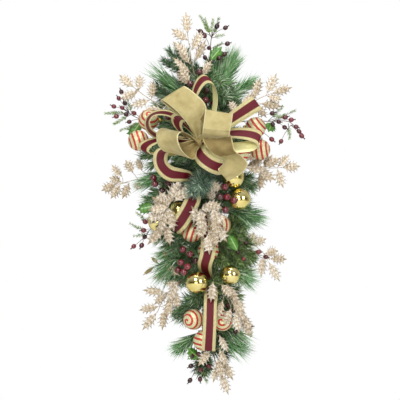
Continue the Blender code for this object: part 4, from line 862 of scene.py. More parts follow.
# The evergreen branches are twisted-wire twigs set with cut PVC needles: short spruce needles in dark, mid
# and blue-green, so many to a millimetre of twig, and fans of long bright pine needles, so many in all.
# A branch is its shade, where its tufts start and end, and its twigs (v, places, length, spread, amount).
BRANCHES = {
    "pine_centre": ("blue", (158, 186), [
        (170, [(206, 174, 96), (200, 187, 144)], 32, 62, 4),
        (176, [(202, 178, 92), (193, 193, 130)], 30, 56, 3.2)]),
    "pine_upper_left": ("dark", (68, 136), [
        (86, [(191, 82, 22), (169, 50, 27)], 26, 46, 3.6),
        (98, [(187, 97, 24), (170, 83, 36)], 104, 19, 80),
        (108, [(188, 104, 22), (155, 92, 34)], 36, 40, 3),
        (126, [(186, 127, 24), (160, 120, 38)], 36, 42, 3)]),
    "pine_upper_right": ("mid", (68, 132), [
        (94, [(213, 98, 22), (228, 68, 30)], 84, 23, 640),
        (104, [(216, 104, 24), (246, 86, 36)], 64, 24, 380),
        (86, [(212, 82, 22), (219, 58, 28)], 32, 40, 3),
        (112, [(218, 112, 24), (240, 104, 34)], 36, 42, 3)]),
    "pine_left": ("mid", (134, 214), [
        (152, [(182, 152, 22), (144, 156, 40)], 36, 38, 2.6),
        (172, [(180, 168, 28), (157, 177, 52)], 94, 15, 230),
        (190, [(182, 188, 24), (160, 197, 42)], 70, 22, 120),
        (182, [(184, 180, 24), (164, 184, 56)], 36, 46, 4.6),
        (200, [(182, 196, 24), (148, 206, 42)], 36, 38, 2.6)]),
    "pine_right": ("mid", (128, 224), [
        (152, [(222, 150, 22), (246, 142, 34)], 40, 40, 2.8),
        (176, [(224, 180, 22), (254, 184, 34)], 32, 44, 3),
        (198, [(224, 198, 24), (246, 202, 34)], 34, 44, 2.8),
        (212, [(222, 208, 26), (242, 214, 48)], 98, 20, 320)]),
    "pine_right_low": ("dark", (222, 292), [
        (236, [(220, 238, 26), (246, 240, 44)], 34, 44, 3),
        (252, [(220, 256, 26), (248, 272, 44)], 34, 44, 3.4),
        (262, [(218, 264, 26), (240, 275, 50)], 84, 26, 260),
        (232, [(222, 230, 26), (244, 225, 46)], 34, 46, 3.4),
        (246, [(222, 248, 26), (254, 254, 48)], 34, 44, 3.2),
        (292, [(218, 290, 22), (240, 297, 34)], 28, 44, 2.2)]),
    "pine_left_low": ("mid", (212, 308), [
        (244, [(190, 246, 24), (172, 264, 50)], 98, 22, 300),
        (236, [(190, 240, 24), (168, 252, 48)], 70, 22, 170),
        (304, [(194, 306, 24), (178, 318, 40)], 34, 36, 2.4),
        (268, [(190, 272, 24), (170, 280, 40)], 34, 42, 2.2),
        (254, [(190, 254, 24), (178, 262, 62)], 36, 50, 4.6),
        (226, [(188, 230, 22), (158, 240, 34)], 36, 42, 2.6)]),
    "pine_bottom_left": ("dark", (306, 354), [
        (332, [(198, 334, 28), (184, 345, 42)], 64, 24, 240),
        (346, [(203, 356, 14), (204, 374, 32)], 30, 44, 3)]),
    "pine_bottom_right": ("mid", (296, 348), [
        (322, [(216, 322, 26), (232, 333, 42)], 92, 22, 150),
        (306, [(216, 308, 22), (236, 306, 32)], 30, 40, 2.4),
        (340, [(215, 338, 22), (227, 344, 34)], 98, 20, 90)]),
}
CORE_RADIUS = 1.9 * MM
STEM_BACK = 14.0
NEEDLE_MODELS = {"short": (30.0 * MM, 0.95 * MM, 1.8 * MM), "long": (90.0 * MM, 1.15 * MM, 5.0 * MM)}
NEEDLE_COLOURS = {
    "dark": ("#14281A", "#34603A", "#578C54", "#93BC88", "#DCEACC"),
    "mid": ("#1A3620", "#3C7038", "#68A052", "#A2CA8C", "#E6F2D6"),
    "blue": ("#22402F", "#486F56", "#70997A", "#A3C2A6", "#DEEAD8"),
    "olive": ("#24401A", "#4E7A2E", "#80A64C", "#B2CC80", "#E0EAC8"),
    "long": ("#24502C", "#479048", "#7ABE6C", "#B0DA9E", "#E8F4DE"),
}
OLIVE_BRANCHES = ("pine_right_low",)
DOOR_GAP, SHORTEST_NEEDLE = 2.0 * MM, 7.0 * MM
TUFT_STEP = 5.0
TUFT_NEEDLES = (35.0, 54.0, "short", 2.6)
LONG_FROM, NEEDLE_TURN = 50, 2.4
SIDE_SHOOTS = ((-0.25, 0.5, 0.8), (0.05, -0.5, 0.75), (0.3, 0.5, 0.6), (0.5, -0.42, 0.5))


def tone_of(tree):
    """The tone that each copy of a repeated model has to itself."""
    return add(tree, "Attribute", attribute_name="tone").outputs["Fac"]


def blade(sides, radius, squash, shoulder, widen, tip):
    """A closed needle or leaflet: a flat base drawn out over its shoulder to a point, with v along it."""
    made = shape(bpy.ops.mesh.primitive_circle_add, vertices=sides, radius=radius, fill_type="NGON")
    bpy.ops.object.mode_set(mode="EDIT")
    bpy.ops.mesh.select_mode(type="FACE")
    bpy.ops.transform.resize(value=squash)
    bpy.ops.mesh.extrude_region_move(TRANSFORM_OT_translate={"value": shoulder})
    bpy.ops.transform.resize(value=widen)
    bpy.ops.mesh.extrude_region_move(TRANSFORM_OT_translate={"value": tip})
    bpy.ops.mesh.merge(type="CENTER")
    bpy.ops.mesh.select_all(action="SELECT")
    bpy.ops.mesh.normals_make_consistent(inside=False)
    bpy.ops.object.mode_set(mode="OBJECT")
    sheet_map = made.data.uv_layers.new(name="UVMap")
    for corner, place in zip(made.data.loops, sheet_map.uv):
        place.vector = (0.5, made.data.vertices[corner.vertex_index].co.z / (shoulder[2] + tip[2]))
    return made


# Cut PVC film: satin, each needle its own green, with painted shade near the wire where the needles crowd, and
# paler at the stretched tip.
needle_finish = {}
for shade_name, (deep, body, lit, pale, tip_colour) in NEEDLE_COLOURS.items():
    finish, tree, shader = surface(f"{shade_name}_green_pvc_needle", {"Roughness": 0.36})
    along = uv_of(tree)[1]
    green = ramp(tree, tone_of(tree), (0.0, deep), (0.35, body), (0.65, lit), (0.9, pale), (1.0, tip_colour))
    far = add(tree, "MapRange", {"Value": along, "From Min": 0.5, "From Max": 1.0, "To Max": 0.5})
    # Painted shade: each needle darkens towards its base at the twig, where the needles crowd.
    near = ramp(tree, along, (0.0, "#8C8C84"), (0.35, "#FFFFFF"))
    dress(tree, shader, blend(tree, 1.0, blend(tree, far, green, tip_colour), near, blend_type="MULTIPLY"))
    needle_finish[shade_name] = finish

needle_models = {kind: blade(3, radius, (1.0, 1.0, 1.0), (0.0, bend * 0.5, length * 0.45), (0.95, 0.95, 1.0),
                             (0.0, -bend * 1.5, length * 0.55))
                 for kind, (length, radius, bend) in NEEDLE_MODELS.items()}

solids = ["spine", "bow_gold", "bow_burgundy", "ribbon_centre"] + list(BALLS)
corners, walls = [], []
for name in solids:
    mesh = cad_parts[name].data
    walls += [[index + len(corners) for index in polygon.vertices] for polygon in mesh.polygons]
    corners += [vertex.co.copy() for vertex in mesh.vertices]
obstacles = BVHTree.FromPolygons(corners, walls)


def clear_length(base, way, wanted):
    """How far a needle may reach before it meets a ball, a ribbon, the spine or the door."""
    _, _, _, distance = obstacles.ray_cast(base + way * 2.5 * MM, way, wanted)
    if distance is not None:
        wanted = distance + 1.0 * MM
    if (base + way * wanted).y > -DOOR_GAP:
        wanted = min(wanted, max((-DOOR_GAP - base.y) / way.y, 0.0))
    return wanted


def stood(*columns):
    """The matrix whose columns are three axes and a place."""
    return Matrix([[column[k] for column in columns] for k in range(3)] + [[0.0, 0.0, 0.0, 1.0]])


def pointed_at(base, way, roll, length, model_length):
    """The place of a needle or leaflet that stands at its base, turned about itself by roll."""
    side = way.orthogonal().normalized()
    other = way.cross(side)
    x = side * math.cos(roll) + other * math.sin(roll)
    size = length / model_length
    return stood(x, way.cross(x) * max(size, 0.6), way * size, base)


def spine_route(v, places, radius):
    """The points of a stem from its seat on the spine through its places."""
    points = [at(places[0][0], places[0][1], max(places[0][2], STEM_BACK))] + [at(*p) for p in places[1:]]
    start, step = spine_seat(v, points[0] - spine_centre(v), radius)
    return [start, step] + points


def shoots_of(first, last, kind, draw):
    """The needled part of a twig and, on a short-needle one, the side shoots that fork off it."""
    shoots = [(first, last)]
    if kind == "long":
        return shoots
    along = last - first
    front = Vector((0.0, -1.0, 0.0))
    for share, turn, size in SIDE_SHOOTS:
        base = first.lerp(last, share)
        way = Matrix.Rotation(turn * draw.uniform(0.8, 1.2), 3, front) @ along
        way += front * along.length * draw.uniform(-0.1, 0.45)
        end = base + way * size
        if end.y < -12.0 * MM:
            shoots.append((base, end))
    return shoots


def tufts_of(top, bottom, sideways, draw):
    """Short tufts that fill in close to the spine from top to bottom, as (start, end)."""
    tufts = []
    for step in range(int((bottom - top) / TUFT_STEP) + 1):
        height = min(max(top + TUFT_STEP * step + draw.uniform(-2, 2), SPINE_TOP_V + 4), SPINE_END_V - 2)
        forward, reach = ((0.3, 76.0), (0.9, 62.0), (2.2, 48.0))[step % 3]
        way = aim(sideways * draw.uniform(0.8, 1.0), draw.uniform(-0.4, 0.7), forward * draw.uniform(0.8, 1.2))
        start = spine_centre(height) + Vector((way.x, way.y, 0.0)).normalized() * SPINE_RADIUS
        reach *= 1.0 if height < 280 else 0.66
        tufts.append((start, start + way * draw.uniform(0.8, 1.05) * reach * MM))
    return tufts


def finish_plant(name, ending, pieces, runs, cover):
    """Join a plant's pieces to its stems, and let it stand in for its node."""
    stems = round_stems(name + "_stems", runs)
    stems.data.materials.append(cover)
    stand_in(joined(f"{name}_{ending}", pieces + [stems]), name)


# Bark-brown paper over twisted wire.
bark = clouded("paper_wrapped_twig", {"Roughness": 0.75}, 320.0, 4.0, (0.3, "#2E241A"), (0.55, "#4E3E2C"),
               (0.8, "#6B5A40"), relief=(0.5, 0.0004))

for name, (shade_name, reach_of, twigs) in BRANCHES.items():
    draw = random.Random(name)
    runs, main_line, grown = [], None, []
    lots = {"short": ([], []), "long": ([], [])}
    for v, places, length, spread, amount in twigs:
        if main_line is None:
            points = spine_route(v, places, CORE_RADIUS)
            main_line = (points[0], points[1])
        else:
            points = [main_line[0].lerp(main_line[1], 0.6)] + spine_route(v, places, CORE_RADIUS)[2:]
        line = smooth_path(points, 24)
        runs.append((line, taper(1.6 * MM, 1.0 * MM, len(line))))
        kind = "long" if length > LONG_FROM else "short"
        shoots = shoots_of(points[-2], points[-1], kind, draw)
        runs += [([first, last], [0.9 * MM, 0.7 * MM]) for first, last in shoots[1:]]
        grown += [(first, last, length, spread, kind, amount) for first, last in shoots]
    sides = (1.0, -1.0) if shade_name == "blue" else (1.0 if points[-1].x > 0.0 else -1.0,)
    for sideways in sides:
        for first, last in tufts_of(*reach_of, sideways, draw):
            runs.append(([first, last], [0.9 * MM, 0.7 * MM]))
            grown.append((first, last, *TUFT_NEEDLES))
    for first, last, length, spread, kind, amount in grown:
        along = (last - first).normalized()
        reach = (last - first).length
        count = amount if kind == "long" else int(reach / MM * amount)
        side = along.orthogonal().normalized()
        other = along.cross(side)
        turn = draw.uniform(0, FULL_TURN)
        cast = draw.uniform(-0.16, 0.22)
        for number in range(count):
            share = (number + draw.random()) / count * 1.02 - 0.02
            turn += NEEDLE_TURN + draw.uniform(-0.5, 0.5)
            radial = side * math.cos(turn) + other * math.sin(turn)
            base = first.lerp(last, share) + radial * 0.6 * MM
            lean = math.radians(spread * (1.15 - 0.4 * share)) * draw.uniform(0.6, 1.25)
            if kind == "long":
                cast = abs(cast)
                lean = math.radians(spread) * draw.uniform(0.1, 1.3)
            way = along * math.cos(lean) + radial * math.sin(lean)
            wanted = length * MM * draw.uniform(0.74, 1.08) * (1.0 - 0.2 * share)
            given = clear_length(base, way, wanted)
            if given < SHORTEST_NEEDLE:
                continue
            lots[kind][0].append(pointed_at(base, way, draw.uniform(0, FULL_TURN), given,
                                            NEEDLE_MODELS[kind][0]))
            lots[kind][1].append(min(1.0, max(0.0, draw.gauss(0.44 + cast, 0.34))))
    pieces = []
    for kind, (spots, tones) in lots.items():
        if spots:
            needles = copies_of(name + "_needles", needle_models[kind], spots, tones)
            short = "olive" if name in OLIVE_BRANCHES else shade_name
            needles.data.materials.append(needle_finish["long" if kind == "long" else short])
            pieces.append(needles)
    finish_plant(name, "branch", pieces, runs, bark)
for model in needle_models.values():
    bpy.data.objects.remove(model)

# The cranberry bunches are lacquered foam berries on wires taped into a short stem. Each berry has a
# shallow dimple with a dark blossom end. A bunch is (v on the spine, places of its stem, its berries).
CRANBERRY_RADIUS = 8.3 * MM
BUNCHES = {
    "cranberries_top": (104, [(206, 98, 62), (206, 92, 84)],
        [(190.5, 84, 96), (199.5, 72, 92), (205.5, 100, 92), (213.5, 104, 74), (207, 90, 76)]),
    "cranberries_left": (190, [(184, 192, 60), (166, 188, 92)],
        [(155, 184, 112), (153.5, 178, 98), (168.5, 183.5, 106), (162, 191, 112), (176, 186, 96)]),
    "cranberries_right": (190, [(214, 194, 62), (222, 196, 100)],
        [(225, 187, 122), (220, 197, 128), (234, 200.5, 128), (225.5, 210, 126), (227, 197, 116)]),
    "cranberries_low": (262, [(198, 262, 62), (188, 262, 88)],
        [(181, 262.5, 106), (187.5, 266.5, 112), (184, 272, 108), (196, 261, 100), (183, 249.5, 100),
         (190, 254, 106), (178, 270, 94)]),
    "cranberries_bow": (116, [(190, 118, 58), (178, 119, 84)],
        [(180, 112, 100), (175, 124, 104), (168, 117, 96), (187, 123, 98)]),
}


def nearest_on(path, place):
    return min(range(len(path)), key=lambda i: (path[i] - place).length)


def berry_foot(path, centre, radius):
    """The point of the stem that a berry's twig grows from, a little behind the berry."""
    for step in (1, 0, 2):
        index = min(max(nearest_on(path, centre) - step, 1), len(path) - 2)
        foot = path[index].lerp(path[index + 1], 0.5)
        if (centre - foot).length >= 1.6 * radius:
            break
    return foot


def turned_to(centre, out, roll, size=1.0):
    """The place of a berry whose far end points along out."""
    turned = out.to_track_quat("Z", "Y").to_matrix().to_4x4()
    return Matrix.Translation(centre) @ turned @ Matrix.Rotation(roll, 4, "Z") @ Matrix.Scale(size, 4)


def main_stem(v, places, seat_radius, knots, rings, thick, thin):
    """A stem's coarse path, which others grow from, and the run that draws it, tapered."""
    points = spine_route(v, places, seat_radius * MM)
    return smooth_path(points, knots), [(smooth_path(points, rings), taper(thick * MM, thin * MM, rings))]


def berry_skin(tree, scale, *stops):
    """A berry's clouded colour, with a tone of its own for each berry."""
    level = calc(tree, "ADD", clouds(tree, scale, 3.0), tone_of(tree))
    return ramp(tree, add(tree, "MapRange", {"Value": level, "From Min": 0.45, "From Max": 1.5}), *stops)


berry_model = shape(bpy.ops.mesh.primitive_uv_sphere_add, segments=20, ring_count=14, radius=CRANBERRY_RADIUS)
for vertex in berry_model.data.vertices:
    height = vertex.co.z / CRANBERRY_RADIUS
    across = math.hypot(vertex.co.x, vertex.co.y) / CRANBERRY_RADIUS
    if height > 0.8:
        vertex.co.z -= CRANBERRY_RADIUS * 0.22 * max(0.0, 1 - (across / 0.42) ** 2)
    vertex.co.z *= 1.03
bpy.ops.object.shade_smooth()
# Lacquered foam: deep wine red, clouded, under a thick gloss, and nearly black at the blossom end.
gloss, tree, shader = surface("lacquered_berry_red", {"Roughness": 0.26, "Coat Weight": 1.0,
                                                      "Coat Roughness": 0.06})
red = berry_skin(tree, 190.0, (0.0, "#26060C"), (0.5, "#4E0C1A"), (1.0, "#84182E"))
end = ramp(tree, uv_of(tree)[1], (0.93, "#000000"), (0.96, "#FFFFFF"))
dress(tree, shader, blend(tree, end, red, "#1C0A0C"))
berry_model.data.materials.append(gloss)

for name, (v, places, berries) in BUNCHES.items():
    draw = random.Random(name)
    path, runs = main_stem(v, places, 1.6, 5, 24, 1.6, 1.2)
    spots, tones = [], []
    for place in berries:
        centre = at(*place)
        foot = berry_foot(path, centre, CRANBERRY_RADIUS)
        twig = smooth_path([foot, foot.lerp(centre, 0.5) + Vector((0.0, 0.0, 1.5 * MM)), centre], 8)
        runs.append((twig, [0.75 * MM] * len(twig)))
        spots.append(turned_to(centre, (centre - foot).normalized(), draw.uniform(0, FULL_TURN)))
        tones.append(draw.random())
    finish_plant(name, "bunch", [copies_of(name + "_fruit", berry_model, spots, tones)], runs, bark)
bpy.data.objects.remove(berry_model)

# The sprayed holly is moulded plastic leaf, many-toothed and dusted all over with champagne glitter, on
# thin pale stems. The small olive sprig at the left is plain-edged and unglittered. A leaf is (u, v, d of
# its tip, share of the stem below it, u and v of its root where it isn't on the way to the stem).
SPRAYS = {
    "holly_spray_top": (92, [(197, 84, 56), (193, 68, 64), (190, 50, 64), (187.5, 34, 60)], [
        (186, 11, 58, 1), (171.5, 28, 62, 0.93, 188, 40), (173, 41, 74, 0.76, 189, 55),
        (201, 30, 72, 0.8, 192, 50), (206.5, 39, 66, 0.6, 195, 61), (173.5, 56, 94, 0.42, 191, 73),
        (176, 73, 96, 0.3, 191, 84), (212, 60, 84, 0.3, 202, 76), (177, 49, 84, 0.6, 190, 64),
        (179, 66, 98, 0.22, 190, 82)]),
    "holly_spray_upper_left": (118, [(180, 114, 50), (158, 104, 60), (144, 95, 66), (133.5, 87, 64)], [
        (119, 74, 62, 1), (139.5, 74, 70, 0.86), (154.5, 80, 60, 0.66), (120, 99, 70, 0.92),
        (129, 105, 62, 0.72), (143, 111, 84, 0.4), (136, 88, 52, 0.88)]),
    "holly_spray_upper_right": (120, [(226, 112, 56), (246, 106, 70), (260, 98, 74), (272, 93, 68)], [
        (293, 87, 62, 1), (277, 73, 70, 0.95), (261.5, 77, 62, 0.78), (282, 99, 82, 0.88),
        (283, 107, 64, 0.74), (267, 118, 60, 0.6), (258, 92, 58, 0.55), (229, 101, 78, 0.05, 237, 112)]),
    "holly_spray_right": (163, [(236, 166, 52), (254, 168, 66), (272, 168, 72), (282, 167.5, 68)], [
        (301, 166, 64, 1), (289, 154, 72, 0.88), (272, 154, 62, 0.7), (283.5, 188, 72, 0.9),
        (258.5, 191, 68, 0.6), (264, 158, 76, 0.5), (281, 158, 84, 0.78), (264, 150, 84, 0.3, 246, 161),
        (268, 170, 86, 0.4, 246, 168), (276, 180, 78, 0.6, 258, 170)]),
    "holly_spray_left": (184, [(170, 186, 48), (146, 179, 60), (130, 181, 64), (116, 185.5, 62)], [
        (101, 191, 60, 0.98, 116, 184), (111, 199, 70, 0.93, 120, 185), (122, 199, 58, 0.8, 129, 183),
        (112, 164, 66, 0.88, 122, 177), (125, 160, 74, 0.7, 133, 173), (137, 158, 60, 0.5, 142, 171),
        (109, 177, 56, 0.94, 121, 182), (137, 190, 66, 0.62)]),
    "holly_cluster_left": (198, [(184, 195, 50), (168, 196, 96), (163, 208, 122)], [
        (151, 198, 132, 1, 170, 210), (146, 219, 138, 1, 167, 212), (176, 231, 136, 1, 168, 206),
        (147, 244, 124, 1, 164, 226), (169, 246, 130, 1, 165, 223), (191, 183, 130, 0.7, 174, 202),
        (179, 181, 128, 0.6, 170, 204), (159, 191, 130, 0.8, 169, 209), (157, 232, 140, 1, 166, 211),
        (192, 194, 132, 0.7, 172, 197), (148, 209, 142, 1, 169, 207), (184, 180, 136, 0.6, 171, 200)]),
    "holly_cluster_centre": (206, [(213, 206, 60), (211, 212, 112), (208.5, 219, 137)], [
        (193, 205, 148, 1, 205, 226), (198, 239, 148, 1, 206, 220), (227, 216, 150, 1, 208, 220),
        (228, 241, 146, 1, 213, 223), (211, 254, 144, 1, 208, 233), (223, 208, 134, 0.8, 204, 204),
        (189, 218, 150, 1, 207, 214), (220, 237, 154, 1, 215, 214), (203, 232, 154, 1, 200, 209),
        (222, 190, 118, 0.5, 206, 184), (217, 247, 148, 1, 208, 229), (217, 203, 132, 0.8, 200, 210),
        (220, 226, 154, 1, 212, 208), (208, 190, 112, 0.5, 213, 201)]),
    "holly_spray_right_low": (234, [(226, 238, 50), (244, 241, 62), (258, 248, 70), (270, 260, 66)], [
        (287.5, 260, 62, 1), (278.5, 251, 72, 0.86), (254, 232, 62, 0.62), (280.5, 282, 68, 0.98),
        (262, 278, 70, 0.8), (267, 239, 66, 0.74)]),
    "holly_spray_left_low": (272, [(188, 275, 46), (174, 286, 60), (163, 300, 66), (157, 313, 62)], [
        (142, 331, 60, 1), (163, 331, 70, 0.9, 165, 309), (138.5, 311, 66, 0.84), (142, 290, 60, 0.62),
        (152, 278, 66, 0.36, 173, 271), (178, 309, 74, 0.56, 173, 290), (165, 265, 72, 0.2, 180, 276),
        (167, 318, 72, 0.6, 171, 297), (166, 302, 78, 0.4, 178, 282), (164, 283, 70, 0.3, 180, 284),
        (154, 305, 62, 0.7, 167, 293)]),
    "holly_chain_right": (295, [(220, 284, 60), (229, 297, 86), (239, 314, 96), (246, 328, 92)], [
        (251, 338, 88, 1, 242, 315), (248, 322, 94, 0.84, 233, 302), (237, 304, 98, 0.5, 227, 284),
        (215, 319, 122, 0.48, 223, 299), (210, 302, 134, 0.16, 213, 281), (225, 326, 112, 0.55, 231, 308),
        (240, 333, 100, 0.9, 235, 312), (233, 297, 104, 0.3, 221, 284), (245, 313, 92, 0.6, 231, 296),
        (253, 330, 90, 0.9, 240, 313)]),
    "holly_spray_bottom": (344, [(213, 352, 62), (216, 364, 80), (220, 375, 82)], [
        (229, 395, 80, 1, 221, 373), (214, 383, 88, 0.9, 219, 363), (233, 381, 78, 0.8, 222, 361),
        (198, 366, 100, 0.42, 210, 350), (229, 367, 92, 0.5, 219, 348), (222, 379, 94, 0.8, 218, 357),
        (229, 352, 90, 0.2, 219, 335)]),
    "olive_sprig": (258, [(184, 262, 52), (166, 263, 64), (155, 266, 66)], [
        (142.5, 276, 62, 1), (151, 257, 68, 0.85), (163, 250, 62, 0.66)]),
}
HOLLY_LENGTH, HOLLY_WIDTH = 55.0 * MM, 22.0 * MM
HOLLY_TEETH = 4
SPRAY_SEED, PICK_LEAF_SEED = 11, 5


def leaf_model(name, teeth, notch, droop, curl, thickness, wide=1.0, base=0.8 * MM):
    """A leaf blade with long pointed teeth, folded along its midrib, arched, and ridged to each tooth."""
    rows = 3 * teeth + 1
    leaf = shape(bpy.ops.mesh.primitive_grid_add, x_subdivisions=4, y_subdivisions=rows, size=2.0)
    leaf.name = name
    layer = leaf.data.uv_layers[0].uv
    for corner, place in zip(leaf.data.loops, layer):
        spot = leaf.data.vertices[corner.vertex_index].co
        place.vector = (spot.x / 2 + 0.5, spot.y / 2 + 0.5)
    for vertex in leaf.data.vertices:
        across, row = vertex.co.x, round((vertex.co.y + 1) / 2 * rows)
        number, part = divmod(row - 1, 3)
        tooth = part == 1
        outward = abs(across)
        t = 0.10 + (number + (0.12, 0.42, 0.64)[part]) * 0.72 / teeth
        fullness = math.sin(math.pi * min(1.0, 0.10 + 0.95 * t)) ** 0.75
        x = math.copysign((0.0, 0.6 * notch, 1.0 if tooth else notch)[round(outward * 2)], across) * (
            wide * HOLLY_WIDTH / 2 * fullness)
        forward = (0.07 * outward + (0.09 if tooth else 0.0) * outward ** 2) * fullness
        lift = curl * HOLLY_WIDTH * outward * (1 if tooth else -1)
        if row == 0:
            t, x, lift = 0.0, across * base, 0.0
        if row in (1, rows - 1):
            x *= 0.6
        if row == rows:
            t, x, lift = 1.0, across * 0.15 * MM, 0.0
        y = HOLLY_LENGTH * min(t + forward, 1.0)
        vertex.co = (x, y, lift - droop * HOLLY_LENGTH * t * t - 0.30 * abs(x))
    select_only(leaf)
    bpy.ops.object.shade_smooth_by_angle(angle=math.radians(24))
    thicken(leaf, thickness)
    return leaf


def leaf_spot(root, tip, face, width):
    """The place of a leaf from its root to its tip, its upper side turned to face."""
    length = (tip - root).length
    along = (tip - root) / length
    normal = (face - face.dot(along) * along).normalized()
    size = length / HOLLY_LENGTH
    return stood(along.cross(normal) * width / HOLLY_WIDTH, along * size, normal * size, root)


def leaf_stand(path, tip_place, share, draw, slim, own_root=()):
    """A leaf's foot on the stem, its root and tip, which way it faces, and its width."""
    length = HOLLY_LENGTH * (0.8 if slim else 1.0)
    width = HOLLY_WIDTH * (0.4 if slim else draw.uniform(0.9, 1.08))
    lean = Vector((draw.uniform(-0.6, 0.6), -1.0, draw.uniform(-0.45, 0.6)))
    index = min(int(share * (len(path) - 1)), len(path) - 2)
    foot = path[index].lerp(path[index + 1], 0.5 if share < 1.0 else 0.9)
    tip = at(*tip_place)
    if own_root:
        return foot, at(*own_root, tip_place[2] - 3.0), tip, lean, width
    reach = tip - foot
    root = tip - reach.normalized() * min(length, reach.length - 3.0 * MM)
    return foot, root, tip, lean, width


many_toothed = leaf_model("many_toothed_leaf", HOLLY_TEETH, 0.54, 0.10, 0.010, 0.6 * MM, 1.46)
ridged_leaf = leaf_model("ridged_leaf", HOLLY_TEETH, 0.55, 0.18, 0.026, 0.6 * MM, 1.85)
slim_leaf = leaf_model("slim_leaf", 3, 0.97, 0.10, 0.01, 0.5 * MM)
# Champagne glitter over moulded plastic, with painted half shade along the midrib crease and painted shade in
# the valleys between the ridges: flakes of 0.4 mm are drawn at 2 mm so that they still sparkle.
dusted, tree, shader = surface("champagne_glitter_leaf", {"Metallic": 0.1, "Roughness": 0.42})
across, along = uv_of(tree)
_, sparkle = flakes(tree, 500.0)
base = ramp(tree, tone_of(tree), (0.0, "#C4B092"), (0.5, "#E0D3BC"), (1.0, "#F4ECE0"))
bright = ramp(tree, sparkle[0], (0.0, "#7A6244"), (0.3, "#C8B698"), (0.65, "#FAF4EA"), (1.0, "#FFFFFF"))
off_rib = add(tree, "MapRange", {"Value": calc(tree, "SUBTRACT", across, 0.5), "From Min": -0.06,
                                 "From Max": 0.06})
ridges = calc(tree, "MULTIPLY_ADD", along, HOLLY_TEETH + 1 / 3, -1 / 6)
dust_and_shade = blend(tree, 0.54, base, bright)
# Painted shade: the band along the midrib and the valleys between the ridges are darkened.
for fold, *stops in ((off_rib, (0.0, "#FFFFFF"), (0.5, "#D2C4AA")),
                     (ridges, (0.0, "#DCCFB8"), (0.4, "#FFFFFF"))):
    shade = ramp(tree, calc(tree, "PINGPONG", fold, 0.5), *stops)
    dust_and_shade = blend(tree, 1.0, dust_and_shade, shade, blend_type="MULTIPLY")
dress(tree, shader, dust_and_shade, sparkle[1], 1.0, 0.0012)
for leaf in (many_toothed, ridged_leaf):
    leaf.data.materials.append(dusted)

# Fabric leaf, soft olive, a little clouded.
slim_leaf.data.materials.append(clouded("olive_fabric_leaf", {"Roughness": 0.6}, 110.0, 3.0, (0.3, "#6E6238"),
                                        (0.55, "#8E8152"), (0.8, "#B3A67A")))

# Pale stems: the same glitter dust over wire, thinner on the stem than on the leaf.
pale_stem, tree, shader = surface("dusted_stem", {"Metallic": 0.15, "Roughness": 0.5})
dress(tree, shader, ramp(tree, flakes(tree, 700.0)[1][0], (0.0, "#7E6A54"), (0.5, "#B7A48A"), (1.0, "#E2D6C4")))

draw = random.Random(SPRAY_SEED)
for name, (v, places, leaves) in SPRAYS.items():
    slim = name.startswith("olive")
    path, runs = main_stem(v, places, 1.7, 6, 36, 1.5, 0.8)
    spots, tones = [], []
    for u, w, d, share, *own_root in leaves:
        foot, root, tip, lean, width = leaf_stand(path, (u, w, d), share, draw, slim, own_root)
        spots.append(leaf_spot(root, tip, lean, width))
        tones.append(((u * 7 + w * 3) % 10) / 10)
        stalk = smooth_path([foot, foot.lerp(root, 0.5) + Vector((0.0, 0.0, 1.0 * MM)), root,
                             root.lerp(tip, 0.12)], 9)
        runs.append((stalk, taper(0.8 * MM, 0.5 * MM, len(stalk))))
    leaf = slim_leaf if slim else ridged_leaf if "cluster" in name else many_toothed
    finish_plant(name, "foliage", [copies_of(name + "_leaves", leaf, spots, tones)], runs,
                 bark if slim else pale_stem)
for model in (many_toothed, ridged_leaf, slim_leaf):
    bpy.data.objects.remove(model)

